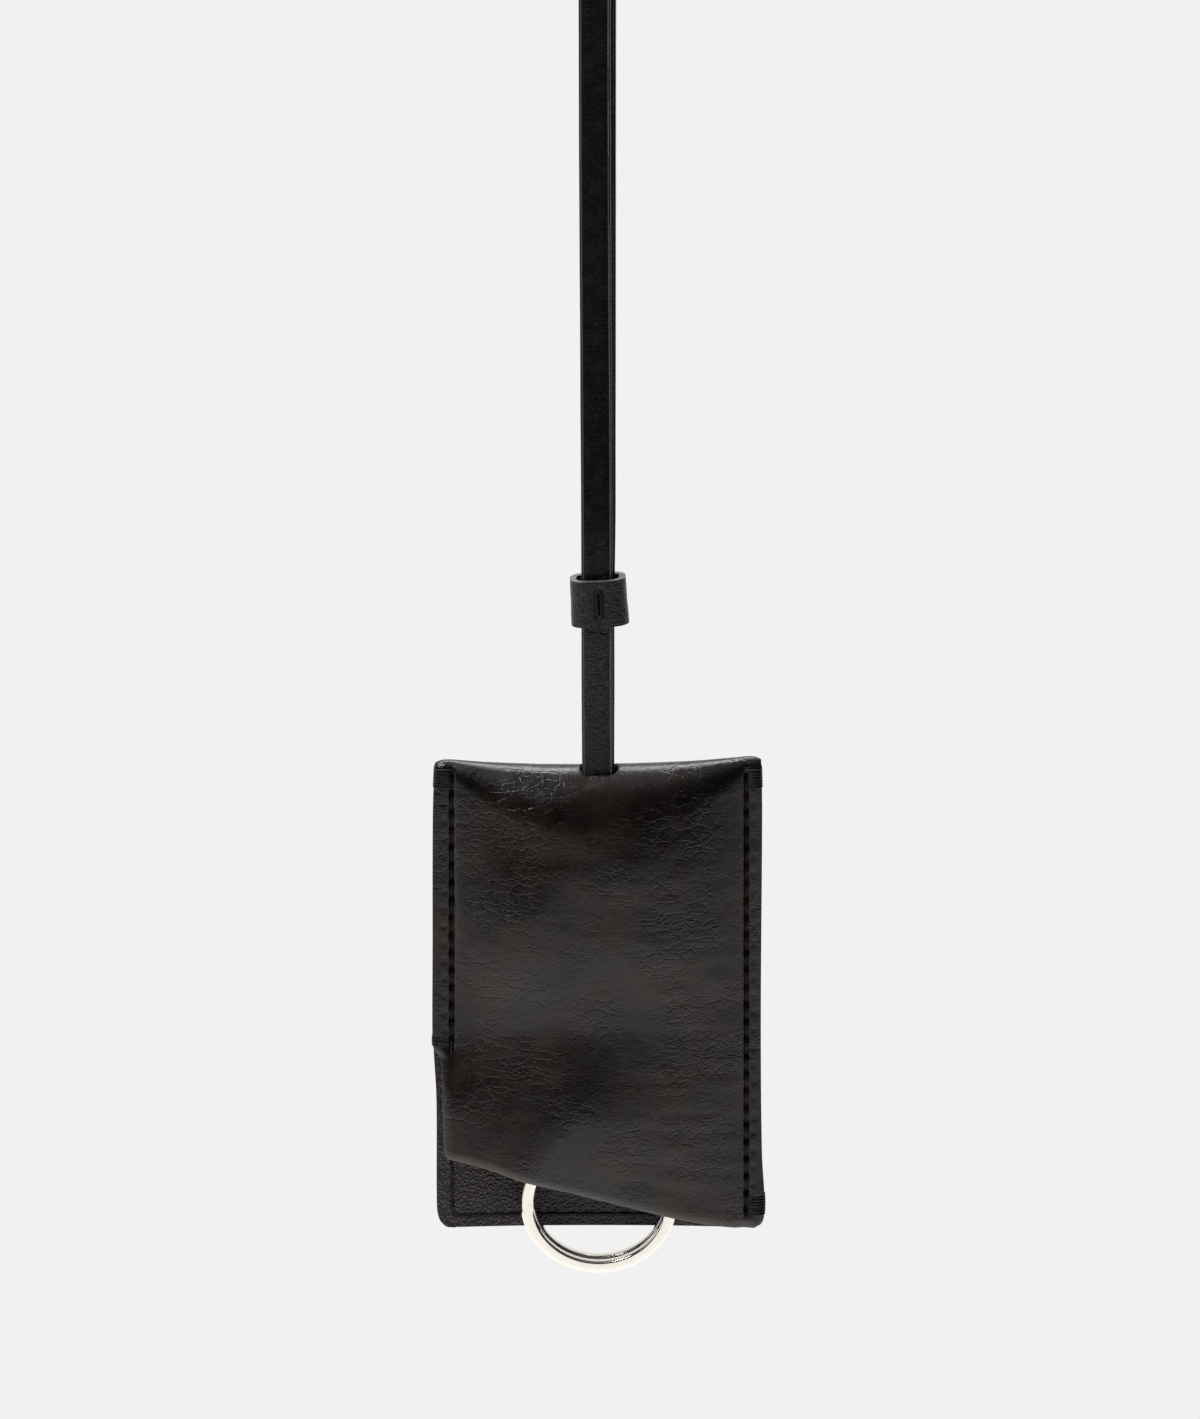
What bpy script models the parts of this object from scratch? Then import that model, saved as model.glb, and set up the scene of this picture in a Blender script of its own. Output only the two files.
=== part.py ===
"""Leather key pouch that slides on a flat neck strap, with a split key ring inside.

World frame: the origin is the inside of the strap's loop, where it hangs; +Z up, -Y the front.
Heights in the pouch are measured down from its top corners, and on_strap() turns them into world Z.
"""

import math

import bmesh
import bpy
from mathutils import Matrix, Vector

MM = 0.001

# ---- Driving dimensions, in metres
# Strap
STRAP_WIDTH = 6.8 * MM
STRAP_THICK = 1.6 * MM
STRAND_GAP = 0.8 * MM
STRAP_DROP = 216.0 * MM
LOOP_RADIUS = 14.5 * MM
LOOP_NECK = 30.0 * MM
STRAIGHT_STEP = 16.0 * MM
LOOP_STEP = 4.5 * MM

# Pouch
POUCH_WIDTH = 72.8 * MM
POUCH_HEIGHT = 112.0 * MM
LEATHER = 1.0 * MM
LINING = 0.6 * MM
FRONT_LINING_MARGIN = 0.4 * MM
CORNER_LINING_MARGIN = 0.8 * MM
BACK_LINING_MARGIN = 0.1 * MM
LINING_HINGE_GAP = 1.0 * MM
BELLY_ROOM = 0.6 * MM
SEAM_INSET = 3.7 * MM
SEAM_GAP = 0.3 * MM
TOP_DIP = 1.8 * MM
FOLD_FALL = 14.0 * MM
FOLD_FALL_AT_EDGE = 3.5 * MM
CORNER_RADIUS = 2.6 * MM
SLOT_LENGTH = 8.4 * MM
SLOT_CLEARANCE = 0.9 * MM
SLOT_CORNER = 1.6 * MM
SLOT_CUT_HEIGHT = 12.0 * MM
SEAM_END_RISE = 44.0 * MM
FRONT_CORNER_RISE = 18.6 * MM
FRONT_CORNER_INSET = 1.8 * MM
FRONT_CORNER_LEAN = 0.6
FRONT_RIGHT_RISE = 1.2 * MM
FRONT_EDGE_BOW = 0.22
HINGE_END_RISE = 2.4 * MM
HINGE_LEAD = 0.05 * MM
HEM_INSET = 3.0 * MM
HEM_SIDE_START = 4.0 * MM
TOP_HEM = 4.0 * MM

# Thread
THREAD_RADIUS = 0.3 * MM
TACK_THICK = 0.5 * MM
TACK_LENGTH = 3.0 * MM
TACK_HEIGHT = 4.2 * MM

# Keeper
KEEPER_HEIGHT = 10.4 * MM
KEEPER_WALL = 1.4 * MM
KEEPER_SIDE_CLEARANCE = 1.35 * MM
KEEPER_DEPTH_CLEARANCE = 0.9 * MM
KEEPER_RISE = 30.9 * MM
KEEPER_STITCH = 6.6 * MM
KEEPER_CORNER = 1.2 * MM

# Ring and its tab
RING_RADIUS = 17.5 * MM
RING_BAND = 2.75 * MM
RING_THICK = 4.2 * MM
RING_SHOW = 10.9 * MM
RING_TILT = math.radians(6.0)
RING_SPLIT = 0.3 * MM
RING_START = math.radians(157)
RING_STEP_ARC = math.radians(26)
TAB_LEATHER = 1.0 * MM
TAB_CLEARANCE = 0.4 * MM
TAB_SLACK = 0.7 * MM
TAB_OVERLAP = 16.0 * MM
TAB_STITCH_SIDE = 1.5 * MM
TAB_STITCH_TOP = 2.0 * MM
TAB_STITCH_BOTTOM = 3.0 * MM

# Fits
GAP = 0.3 * MM
FREE = 0.15 * MM
SPARE = 1.0 * MM

# Fineness of the meshes
WALL_COLUMNS = 21
WALL_ROWS = 9
SHELL_ROWS = 7
FOLD_STEPS = 12
EDGE_PLACES = 7
HINGE_SAMPLES = 41
CURVE_STEPS = 24
RING_STEPS = 96
TAB_STEPS = 12
HEM_STEPS = 16
KEEPER_CORNER_STEPS = 4
SLOT_CORNER_STEPS = 3
SHARP_ANGLE = math.radians(35)

# ---- Sizes worked out from them
HALF_WIDTH = POUCH_WIDTH / 2
SEAM_X = HALF_WIDTH - SEAM_INSET
SHELL = LEATHER + GAP + LINING
SEAM_HALF = SHELL + SEAM_GAP / 2
LEFT_SEAM_END = POUCH_HEIGHT - SEAM_END_RISE
FRONT_CORNER_DROP = POUCH_HEIGHT - FRONT_CORNER_RISE
STRAND_PITCH = STRAP_THICK + STRAND_GAP
PAIR_HALF = (STRAND_PITCH + STRAP_THICK) / 2
RING_DROP = POUCH_HEIGHT + RING_SHOW - RING_RADIUS
WIRE_RADIUS = RING_RADIUS - RING_BAND / 2
WIRE_DROP = RING_DROP - WIRE_RADIUS * math.cos(RING_TILT)
WIRE_HALF_Y = (RING_THICK * math.cos(RING_TILT) + RING_BAND * math.sin(RING_TILT)) / 2
WIRE_HALF_Z = (RING_BAND * math.cos(RING_TILT) + RING_THICK * math.sin(RING_TILT)) / 2
RING_SAG = WIRE_RADIUS - math.sqrt(WIRE_RADIUS**2 - (STRAP_WIDTH / 2) ** 2)
TAB_INNER = max(PAIR_HALF + GAP, WIRE_HALF_Y + TAB_CLEARANCE)
STRAP_END_DROP = WIRE_DROP - WIRE_HALF_Z - 3 * GAP
RING_Y = WIRE_RADIUS * math.sin(RING_TILT)
FRONT_ROOM = TAB_INNER + TAB_LEATHER + GAP + 2 * THREAD_RADIUS + BELLY_ROOM
BACK_ROOM = RING_Y + RING_RADIUS * math.sin(RING_TILT) + RING_THICK / 2 + BELLY_ROOM
BELLY = (FRONT_ROOM + BACK_ROOM - SEAM_GAP) / 2
BELLY_OFFSET = (BACK_ROOM - FRONT_ROOM) / 2
BESIDE_RING = RING_Y + RING_THICK / 2 + BELLY_ROOM + GAP + THREAD_RADIUS - BELLY_OFFSET - SEAM_GAP / 2
BELLY_SQUARENESS = max(2.0, math.log(1 - BESIDE_RING / BELLY) / math.log(RING_RADIUS / SEAM_X))

LEATHER_BLACK = (0.012, 0.011, 0.011, 1.0)
LEATHER_PEBBLED = (0.030, 0.026, 0.025, 1.0)
STRAP_BLACK = (0.010, 0.010, 0.011, 1.0)
THREAD_BLACK = (0.008, 0.008, 0.009, 1.0)
NICKEL = (0.82, 0.80, 0.77, 1.0)


def on_strap(drop):
    """World Z of a place this far below the pouch's top corners."""
    return -STRAP_DROP - drop


# ---- Helpers


def clear_scene():
    for obj in list(bpy.data.objects):
        bpy.data.objects.remove(obj, do_unlink=True)


def collection(name):
    made = bpy.data.collections.new(name)
    bpy.context.scene.collection.children.link(made)
    return made


def material(name, colour, roughness, metallic=0.0):
    made = bpy.data.materials.new(name)
    made.use_nodes = True
    shader = made.node_tree.nodes["Principled BSDF"]
    shader.inputs["Base Color"].default_value = colour
    shader.inputs["Roughness"].default_value = roughness
    shader.inputs["Metallic"].default_value = metallic
    made.diffuse_color = colour
    return made


def add_object(name, data, finish, where, location=(0, 0, 0)):
    obj = bpy.data.objects.new(name, data)
    obj.location = location
    data.materials.append(finish)
    where.objects.link(obj)
    return obj


def mesh_object(name, bm, finish, where, location=(0, 0, 0), smooth=True):
    bmesh.ops.recalc_face_normals(bm, faces=bm.faces)
    mesh = bpy.data.meshes.new(name)
    bm.to_mesh(mesh)
    bm.free()
    if smooth:
        mesh.shade_smooth()
        mesh.set_sharp_from_angle(angle=SHARP_ANGLE)
    return add_object(name, mesh, finish, where, location)


def solidify(obj, thickness, offset=-1.0):
    shell = obj.modifiers.new("wall", "SOLIDIFY")
    shell.thickness = thickness
    shell.offset = offset
    shell.use_even_offset = True
    return shell


def cut(obj, cutter):
    boolean = obj.modifiers.new("cut " + cutter.name, "BOOLEAN")
    boolean.operation = "DIFFERENCE"
    boolean.object = cutter


def hide(obj):
    obj.hide_render = True
    obj.display_type = "WIRE"


def poly_line(name, points, finish, where, radius):
    """A round thread along the points, with closed ends."""
    data = bpy.data.curves.new(name, "CURVE")
    data.dimensions = "3D"
    data.bevel_depth = radius
    data.bevel_resolution = 1
    data.use_fill_caps = True
    line = data.splines.new("POLY")
    line.points.add(len(points) - 1)
    for place, point in zip(line.points, points):
        place.co = (*point, 1.0)
    return add_object(name, data, finish, where)


# ---- The pouch's form


def fullness(x):
    """1 in the middle of the pouch and 0 from the seams outwards."""
    return max(0.0, 1.0 - abs(x / SEAM_X) ** BELLY_SQUARENESS)


def half_depth(x, inset):
    """Distance from the pouch's middle plane to its outer face, less an inset."""
    return SEAM_HALF + BELLY * fullness(x) - inset


def fold_fall(x):
    """Height of the rounded fold at the top."""
    return FOLD_FALL_AT_EDGE + (FOLD_FALL - FOLD_FALL_AT_EDGE) * fullness(x)


def top_drop(x):
    return TOP_DIP * fullness(x)


def wall_y(x, side, inset):
    """World Y of the front (side -1) or back (side 1) wall below the fold."""
    return BELLY_OFFSET + side * half_depth(x, inset)


def columns(count, reach=HALF_WIDTH):
    """Places across the pouch, closer together near the seams."""
    steps = [-1 + 2 * i / (count - 1) for i in range(count)]
    return [reach * math.sin(step * math.pi / 2) for step in steps]


def grid_faces(bm, rows):
    for low, high in zip(rows, rows[1:]):
        for i in range(len(low) - 1):
            bm.faces.new((low[i], low[i + 1], high[i + 1], high[i]))


def trim(bm, point, normal, keep=None):
    """Cuts away what lies on the normal's side of a plane, among the faces that keep() picks."""
    faces = [face for face in bm.faces if keep is None or keep(face)]
    verts = {vert for face in faces for vert in face.verts}
    edges = {edge for face in faces for edge in face.edges}
    bmesh.ops.bisect_plane(
        bm,
        geom=list(verts) + list(edges) + faces,
        plane_co=point,
        plane_no=normal,
        clear_outer=True,
    )


def side_of_line(start, end, shift=0.0):
    """Point and normal of the plane through two (x, drop) places, moved to its lower left by a shift."""
    a = Vector((start[0], 0, on_strap(start[1])))
    b = Vector((end[0], 0, on_strap(end[1])))
    along = (b - a).normalized()
    normal = Vector((along.z, 0, -along.x))
    return a + normal * shift, normal


def front_edge():
    """The free lower edge of the front, from its left corner to the right seam, as (x, drop)."""
    left = (-HALF_WIDTH + FRONT_CORNER_INSET, FRONT_CORNER_DROP)
    right = (HALF_WIDTH, POUCH_HEIGHT - FRONT_RIGHT_RISE)
    places = []
    for i in range(EDGE_PLACES):
        t = i / (EDGE_PLACES - 1)
        x = left[0] + (right[0] - left[0]) * t
        places.append((x, left[1] + (right[1] - left[1]) * (t + FRONT_EDGE_BOW * t * (1 - t))))
    return places


def hinge_line():
    """Start and end of the line that the free corner lifts about, as (x, drop)."""
    start = (-HALF_WIDTH, LEFT_SEAM_END + TACK_HEIGHT / 2 + GAP)
    return start, (SEAM_X - TACK_LENGTH, POUCH_HEIGHT - HINGE_END_RISE)


def hinge_place():
    """Middle point of the corner's hinge, just in front of the front wall."""
    start, end = hinge_line()
    a = Vector((start[0], 0, on_strap(start[1])))
    b = Vector((end[0], 0, on_strap(end[1])))
    middle = (a + b) / 2
    middle.y = min(wall_y(x, -1, 0) for x in columns(HINGE_SAMPLES)) - HINGE_LEAD
    return middle


def wall_sheet(side, inset, top, bottom, margin=0.0):
    """An open sheet along one wall of the pouch, below the fold, kept a margin inside its sides."""
    bm = bmesh.new()
    rows = []
    across = columns(WALL_COLUMNS, HALF_WIDTH - margin)
    for j in range(WALL_ROWS):
        drop = top + (bottom - top) * j / (WALL_ROWS - 1)
        rows.append([bm.verts.new((x, wall_y(x, side, inset), on_strap(drop))) for x in across])
    grid_faces(bm, rows)
    face_out(bm, side)
    return bm


def face_out(bm, side):
    """Turns a sheet's faces away from the middle of the pouch."""
    bm.normal_update()
    for face in bm.faces:
        if face.normal.y * side < 0:
            face.normal_flip()


def round_corner(bm, x_side, bottom):
    """Trims a bottom corner to a three-sided round."""
    cx = x_side * (HALF_WIDTH - CORNER_RADIUS)
    cz = on_strap(bottom - CORNER_RADIUS)
    for degrees in (22.5, 45.0, 67.5):
        turn = math.radians(degrees)
        normal = Vector((x_side * math.sin(turn), 0, -math.cos(turn)))
        trim(bm, Vector((cx, 0, cz)) + normal * CORNER_RADIUS, normal)


def sheet_object(name, bm, thickness, finish, where):
    mesh = bpy.data.meshes.new(name)
    bm.to_mesh(mesh)
    bm.free()
    obj = add_object(name, mesh, finish, where)
    solidify(obj, thickness)
    return obj


# ---- The strap


def strap_route():
    """Hand-chosen places (y, height above the pouch's top) along the rear strand and the loop's back half."""
    near = STRAND_PITCH / 2
    loop_z = STRAP_DROP + STRAP_THICK / 2 - LOOP_RADIUS
    neck_z = loop_z - LOOP_NECK
    return [
        (near, -STRAP_END_DROP),
        (near, -60 * MM),
        (near, -20 * MM),
        (near, 20 * MM),
        (near, 60 * MM),
        (near, 100 * MM),
        (near + 0.1 * MM, 140 * MM),
        (near + 0.5 * MM, neck_z),
        (LOOP_RADIUS * 0.26, neck_z + LOOP_NECK * 0.27),
        (LOOP_RADIUS * 0.62, neck_z + LOOP_NECK * 0.56),
        (LOOP_RADIUS * 0.92, neck_z + LOOP_NECK * 0.82),
        (LOOP_RADIUS, loop_z),
        (LOOP_RADIUS * math.sin(math.radians(60)), loop_z + LOOP_RADIUS * 0.5),
        (LOOP_RADIUS * 0.5, loop_z + LOOP_RADIUS * math.cos(math.radians(30))),
        (0.0, loop_z + LOOP_RADIUS),
    ]


def smooth_curve(places):
    """A fine Catmull-Rom curve through the places."""
    fine = []
    for i in range(len(places) - 1):
        before = Vector(places[max(i - 1, 0)])
        start, end = Vector(places[i]), Vector(places[i + 1])
        after = Vector(places[min(i + 2, len(places) - 1)])
        leave = (end - before) / 2 if i else end - start
        arrive = (after - start) / 2 if i < len(places) - 2 else end - start
        for k in range(CURVE_STEPS):
            t = k / CURVE_STEPS
            fine.append(
                (2 * t**3 - 3 * t**2 + 1) * start
                + (t**3 - 2 * t**2 + t) * leave
                + (-2 * t**3 + 3 * t**2) * end
                + (t**3 - t**2) * arrive
            )
    fine.append(Vector(places[-1]))
    return fine


def strap_points(places, loop_from):
    """Points along the curve: far apart on the straight strands, close together round the loop."""
    fine = smooth_curve(places)
    picked, since = [fine[0]], 0.0
    for near, far in zip(fine, fine[1:]):
        since += (far - near).length
        if since >= (LOOP_STEP if far.y > loop_from else STRAIGHT_STEP):
            picked.append(far)
            since = 0.0
    picked[-1] = fine[-1]
    return picked


def neck_strap(finish, where):
    """One flat strip: up the rear, over the loop and down the front."""
    route = strap_route()
    whole = route + [(-y, z) for y, z in reversed(route[:-1])]
    path = strap_points(whole, STRAP_DROP - 2 * LOOP_RADIUS - LOOP_NECK)
    bm = bmesh.new()
    sides = []
    for x in (-STRAP_WIDTH / 2, STRAP_WIDTH / 2):
        sides.append([bm.verts.new((x, point[0], on_strap(-point[1]))) for point in path])
    grid_faces(bm, sides)
    mesh = bpy.data.meshes.new("neck_strap")
    bm.to_mesh(mesh)
    bm.free()
    obj = add_object("neck_strap", mesh, finish, where)
    solidify(obj, STRAP_THICK, 0.0)
    return obj


# ---- Ring and tab


def split_ring(finish, where):
    """Two turns of flat wire, with a short step between them, turned back by RING_TILT."""
    turn_thick = (RING_THICK - RING_SPLIT) / 2
    pitch = turn_thick + RING_SPLIT
    total = 4 * math.pi - RING_STEP_ARC / 2
    bm = bmesh.new()
    sections = []
    for i in range(RING_STEPS + 1):
        angle = total * i / RING_STEPS
        climb = (angle - (2 * math.pi - RING_STEP_ARC)) / RING_STEP_ARC
        climb = min(1.0, max(0.0, climb))
        y = pitch * (climb * climb * (3 - 2 * climb) - 0.5)
        heading = angle + RING_START
        corners = []
        for radial, axial in ((-1, -1), (1, -1), (1, 1), (-1, 1)):
            radius = WIRE_RADIUS + radial * RING_BAND / 2
            across, up = radius * math.cos(heading), radius * math.sin(heading)
            corners.append(bm.verts.new((across, y + axial * turn_thick / 2, up)))
        sections.append(corners)
    for near, far in zip(sections, sections[1:]):
        for k in range(4):
            bm.faces.new((near[k], near[(k + 1) % 4], far[(k + 1) % 4], far[k]))
    bm.faces.new(sections[0])
    bm.faces.new(list(reversed(sections[-1])))
    obj = mesh_object("split_ring", bm, finish, where, (0, RING_Y, on_strap(RING_DROP)))
    obj.rotation_euler = (RING_TILT, 0, 0)
    return obj


def ring_tab(finish, where):
    """A leather strip folded under the ring and up both sides of the strap's ends."""
    middle = TAB_INNER + TAB_LEATHER / 2
    top = on_strap(STRAP_END_DROP) + TAB_OVERLAP
    bend_z = on_strap(WIRE_DROP) - WIRE_HALF_Z - RING_SAG - GAP + TAB_INNER - TAB_SLACK
    places = [(-middle, top), (-middle, (top + bend_z) / 2)]
    for i in range(TAB_STEPS + 1):
        turn = math.pi + math.pi * i / TAB_STEPS
        places.append((middle * math.cos(turn), bend_z + middle * math.sin(turn)))
    places += [(middle, (top + bend_z) / 2), (middle, top)]
    bm = bmesh.new()
    sides = []
    for x in (-STRAP_WIDTH / 2, STRAP_WIDTH / 2):
        sides.append([bm.verts.new((x, y, z)) for y, z in places])
    grid_faces(bm, sides)
    mesh = bpy.data.meshes.new("ring_tab")
    bm.to_mesh(mesh)
    bm.free()
    obj = add_object("ring_tab", mesh, finish, where)
    solidify(obj, TAB_LEATHER, 0.0)
    return obj


def tab_stitch(finish, where):
    """The box of stitches on the tab's front face."""
    y = -(TAB_INNER + TAB_LEATHER + GAP + THREAD_RADIUS)
    low = on_strap(STRAP_END_DROP) + TAB_STITCH_BOTTOM
    high = on_strap(STRAP_END_DROP) + TAB_OVERLAP - TAB_STITCH_TOP
    across = STRAP_WIDTH / 2 - TAB_STITCH_SIDE
    corners = ((-across, high), (-across, low), (across, low), (across, high), (-across / 2, high))
    points = [(x, y, z) for x, z in corners]
    return poly_line("tab_stitch", points, finish, where, THREAD_RADIUS)


# ---- The pouch's pieces


def outer_leather(finish, where, cutters):
    """Front, top fold and back of the pouch: one folded piece with a slot for the strap."""
    bm = bmesh.new()
    rows = []
    across = columns(WALL_COLUMNS)
    bottom = POUCH_HEIGHT + SPARE
    for side_rows in ("front", "fold", "back"):
        count = FOLD_STEPS - 1 if side_rows == "fold" else SHELL_ROWS
        for k in range(count):
            row = []
            for x in across:
                start = top_drop(x) + fold_fall(x)
                if side_rows == "fold":
                    turn = math.pi * (k + 1) / FOLD_STEPS
                    y = BELLY_OFFSET - half_depth(x, 0) * math.cos(turn)
                    drop = start - fold_fall(x) * math.sin(turn)
                else:
                    share = k / (SHELL_ROWS - 1)
                    if side_rows == "front":
                        share = 1 - share
                    drop = start + (bottom - start) * share
                    y = wall_y(x, -1 if side_rows == "front" else 1, 0)
                row.append(bm.verts.new((x, y, on_strap(drop))))
            rows.append(row)
    grid_faces(bm, rows)
    bmesh.ops.recalc_face_normals(bm, faces=bm.faces)
    near_top = on_strap(TOP_DIP + LEATHER)
    if sum(face.normal.z for face in bm.faces if face.calc_center_median().z > near_top) < 0:
        bmesh.ops.reverse_faces(bm, faces=bm.faces)

    def front(face):
        centre = face.calc_center_median()
        return centre.y < BELLY_OFFSET and centre.z < on_strap(FOLD_FALL + TOP_DIP)

    trim(bm, Vector((0, 0, on_strap(POUCH_HEIGHT))), Vector((0, 0, -1)))
    start, end = hinge_line()
    point, normal = side_of_line(start, end, -FREE)
    trim(bm, point, normal, front)
    edge = front_edge()
    point, normal = side_of_line(edge[-2], edge[-1])
    trim(bm, point, normal, front)
    for x_side in (-1, 1):
        round_corner(bm, x_side, POUCH_HEIGHT)
    obj = sheet_object("outer_leather", bm, LEATHER, finish, where)
    cut(obj, slot_cutter(cutters))
    return obj


def slot_cutter(where):
    """The long round-ended opening in the fold, with room for both strands."""
    half_length = SLOT_LENGTH / 2
    half_across = PAIR_HALF + SLOT_CLEARANCE
    bm = bmesh.new()
    bmesh.ops.create_cube(bm, size=1.0)
    bmesh.ops.scale(bm, vec=(2 * half_length, 2 * half_across, SLOT_CUT_HEIGHT), verts=bm.verts)
    upright = [edge for edge in bm.edges if abs(edge.verts[0].co.z - edge.verts[1].co.z) > MM]
    bmesh.ops.bevel(
        bm, geom=upright, offset=SLOT_CORNER, segments=SLOT_CORNER_STEPS, affect="EDGES", profile=0.5
    )
    red = material("cutter", (1, 0, 0, 1), 0.5)
    obj = mesh_object("slot_cutter", bm, red, where, (0, 0, on_strap(TOP_DIP)))
    hide(obj)
    return obj


def front_corner(name, inset, thickness, margin, finish, where):
    """The free lower-left corner of the front, or its lining, below the hinge line."""
    bm = wall_sheet(-1, inset, LEFT_SEAM_END, POUCH_HEIGHT + SPARE)
    start, end = hinge_line()
    point, normal = side_of_line(start, end, FREE)
    trim(bm, point, -normal)
    left = -HALF_WIDTH + FRONT_CORNER_INSET * FRONT_CORNER_LEAN + margin
    trim(bm, Vector((left, 0, 0)), Vector((-1, 0, 0)))
    edge = front_edge()
    for a, b in zip(edge, edge[1:]):
        point, normal = side_of_line(a, b, -margin)
        trim(bm, point, normal)
    trim(bm, Vector((end[0] - margin, 0, 0)), Vector((1, 0, 0)))
    return sheet_object(name, bm, thickness, finish, where)


def front_lining(finish, where):
    """Lining of the sewn part of the front."""
    top = FOLD_FALL + TOP_DIP + GAP
    bm = wall_sheet(-1, LEATHER + GAP, top, POUCH_HEIGHT - FRONT_RIGHT_RISE, FRONT_LINING_MARGIN)
    start, end = hinge_line()
    point, normal = side_of_line(start, end, -FREE - LINING_HINGE_GAP)
    trim(bm, point, normal)
    edge = front_edge()
    point, normal = side_of_line(edge[-2], edge[-1], -FRONT_LINING_MARGIN)
    trim(bm, point, normal)
    trim(bm, Vector((HALF_WIDTH - CORNER_RADIUS, 0, 0)), Vector((1, 0, 0)))
    return sheet_object("front_lining", bm, LINING, finish, where)


def back_lining(finish, where):
    """Pebble-grained lining of the whole back."""
    top = FOLD_FALL + TOP_DIP + GAP
    bm = wall_sheet(1, LEATHER + GAP, top, POUCH_HEIGHT, BACK_LINING_MARGIN)
    for x_side in (-1, 1):
        round_corner(bm, x_side, POUCH_HEIGHT)
    return sheet_object("back_lining", bm, LINING, finish, where)


def seam_thread(name, x, start, end, finish, where):
    """Needle thread of a side seam, on the front."""
    y = wall_y(x, -1, 0) - GAP - THREAD_RADIUS
    points = [(x, y, on_strap(start)), (x, y, on_strap((start + end) / 2)), (x, y, on_strap(end))]
    return poly_line(name, points, finish, where, THREAD_RADIUS)


def hem_thread(finish, where):
    """Needle thread on the inner face of the back: down below the left seam, then along the bottom."""
    reach = SEAM_X - TACK_LENGTH
    bottom = on_strap(POUCH_HEIGHT - HEM_INSET)
    points = [(-SEAM_X, inner_y(-SEAM_X), on_strap(FRONT_CORNER_DROP + HEM_SIDE_START))]
    for i in range(HEM_STEPS + 1):
        x = -SEAM_X + (SEAM_X + reach) * i / HEM_STEPS
        points.append((x, inner_y(x), bottom))
    return poly_line("hem_thread", points, finish, where, THREAD_RADIUS * 0.5)


def inner_y(x):
    """World Y of a thread that lies just inside the back lining."""
    wall = wall_y(x, 1, SHELL)
    return wall - SEAM_GAP / 2 if fullness(x) == 0 else wall - GAP - THREAD_RADIUS / 2


def back_thread(finish, where):
    """Bobbin thread on the back: down one side, along the bottom and up the other."""
    bottom = on_strap(POUCH_HEIGHT - HEM_INSET)
    top = on_strap(TOP_HEM)

    def outside(x):
        return wall_y(x, 1, 0) + GAP + THREAD_RADIUS

    points = [(-SEAM_X, outside(-SEAM_X), top)]
    for i in range(HEM_STEPS + 1):
        x = -SEAM_X + 2 * SEAM_X * i / HEM_STEPS
        points.append((x, outside(x), bottom))
    points.append((SEAM_X, outside(SEAM_X), top))
    return poly_line("back_thread", points, finish, where, THREAD_RADIUS)


def bar_tack(name, x_side, drop, finish, where):
    """Thread wrapped over the pouch's side edge: a flat staple from the front round to the back."""
    edge = HALF_WIDTH + GAP + TACK_THICK / 2
    front = wall_y(HALF_WIDTH, -1, 0) - GAP - TACK_THICK / 2
    back = wall_y(HALF_WIDTH, 1, 0) + GAP + TACK_THICK / 2
    inner = HALF_WIDTH - TACK_LENGTH
    outline = [(inner, front), (edge, front), (edge, back), (inner, back)]
    if x_side < 0:
        outline = [(-x, y) for x, y in outline]
    bm = bmesh.new()
    sides = []
    for z in (on_strap(drop + TACK_HEIGHT / 2), on_strap(drop - TACK_HEIGHT / 2)):
        sides.append([bm.verts.new((x, y, z)) for x, y in outline])
    grid_faces(bm, sides)
    mesh = bpy.data.meshes.new(name)
    bm.to_mesh(mesh)
    bm.free()
    obj = add_object(name, mesh, finish, where)
    solidify(obj, TACK_THICK, 0.0)
    return obj


# ---- Keeper


def rounded_rectangle(data, half_x, half_y, radius):
    """Adds a closed outline with round corners to a flat curve."""
    points = []
    for quarter in range(4):
        cx = (half_x - radius) * (1 if quarter in (0, 3) else -1)
        cy = (half_y - radius) * (1 if quarter in (0, 1) else -1)
        for k in range(KEEPER_CORNER_STEPS + 1):
            turn = math.pi / 2 * (quarter + k / KEEPER_CORNER_STEPS)
            points.append((cx + radius * math.cos(turn), cy + radius * math.sin(turn)))
    line = data.splines.new("POLY")
    line.use_cyclic_u = True
    line.points.add(len(points) - 1)
    for place, point in zip(line.points, points):
        place.co = (*point, 0.0, 1.0)


def keeper_sizes():
    """Half width and half depth of the keeper's opening."""
    return STRAP_WIDTH / 2 + KEEPER_SIDE_CLEARANCE, PAIR_HALF + KEEPER_DEPTH_CLEARANCE


def keeper_band(finish, where):
    """Leather loop round both strands."""
    half_x, half_y = keeper_sizes()
    data = bpy.data.curves.new("keeper_band", "CURVE")
    data.dimensions = "2D"
    data.fill_mode = "BOTH"
    data.extrude = KEEPER_HEIGHT / 2
    rounded_rectangle(data, half_x + KEEPER_WALL, half_y + KEEPER_WALL, KEEPER_CORNER + KEEPER_WALL)
    rounded_rectangle(data, half_x, half_y, KEEPER_CORNER)
    return add_object("keeper_band", data, finish, where, (0, 0, on_strap(-KEEPER_RISE - KEEPER_HEIGHT / 2)))


def keeper_stitch(finish, where):
    """The short upright bar of thread on the keeper's front."""
    y = -(keeper_sizes()[1] + KEEPER_WALL + GAP + THREAD_RADIUS)
    middle = on_strap(-KEEPER_RISE - KEEPER_HEIGHT / 2)
    points = [(0, y, middle - KEEPER_STITCH / 2), (0, y, middle), (0, y, middle + KEEPER_STITCH / 2)]
    return poly_line("keeper_stitch", points, finish, where, THREAD_RADIUS)


# ---- Assembly


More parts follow.
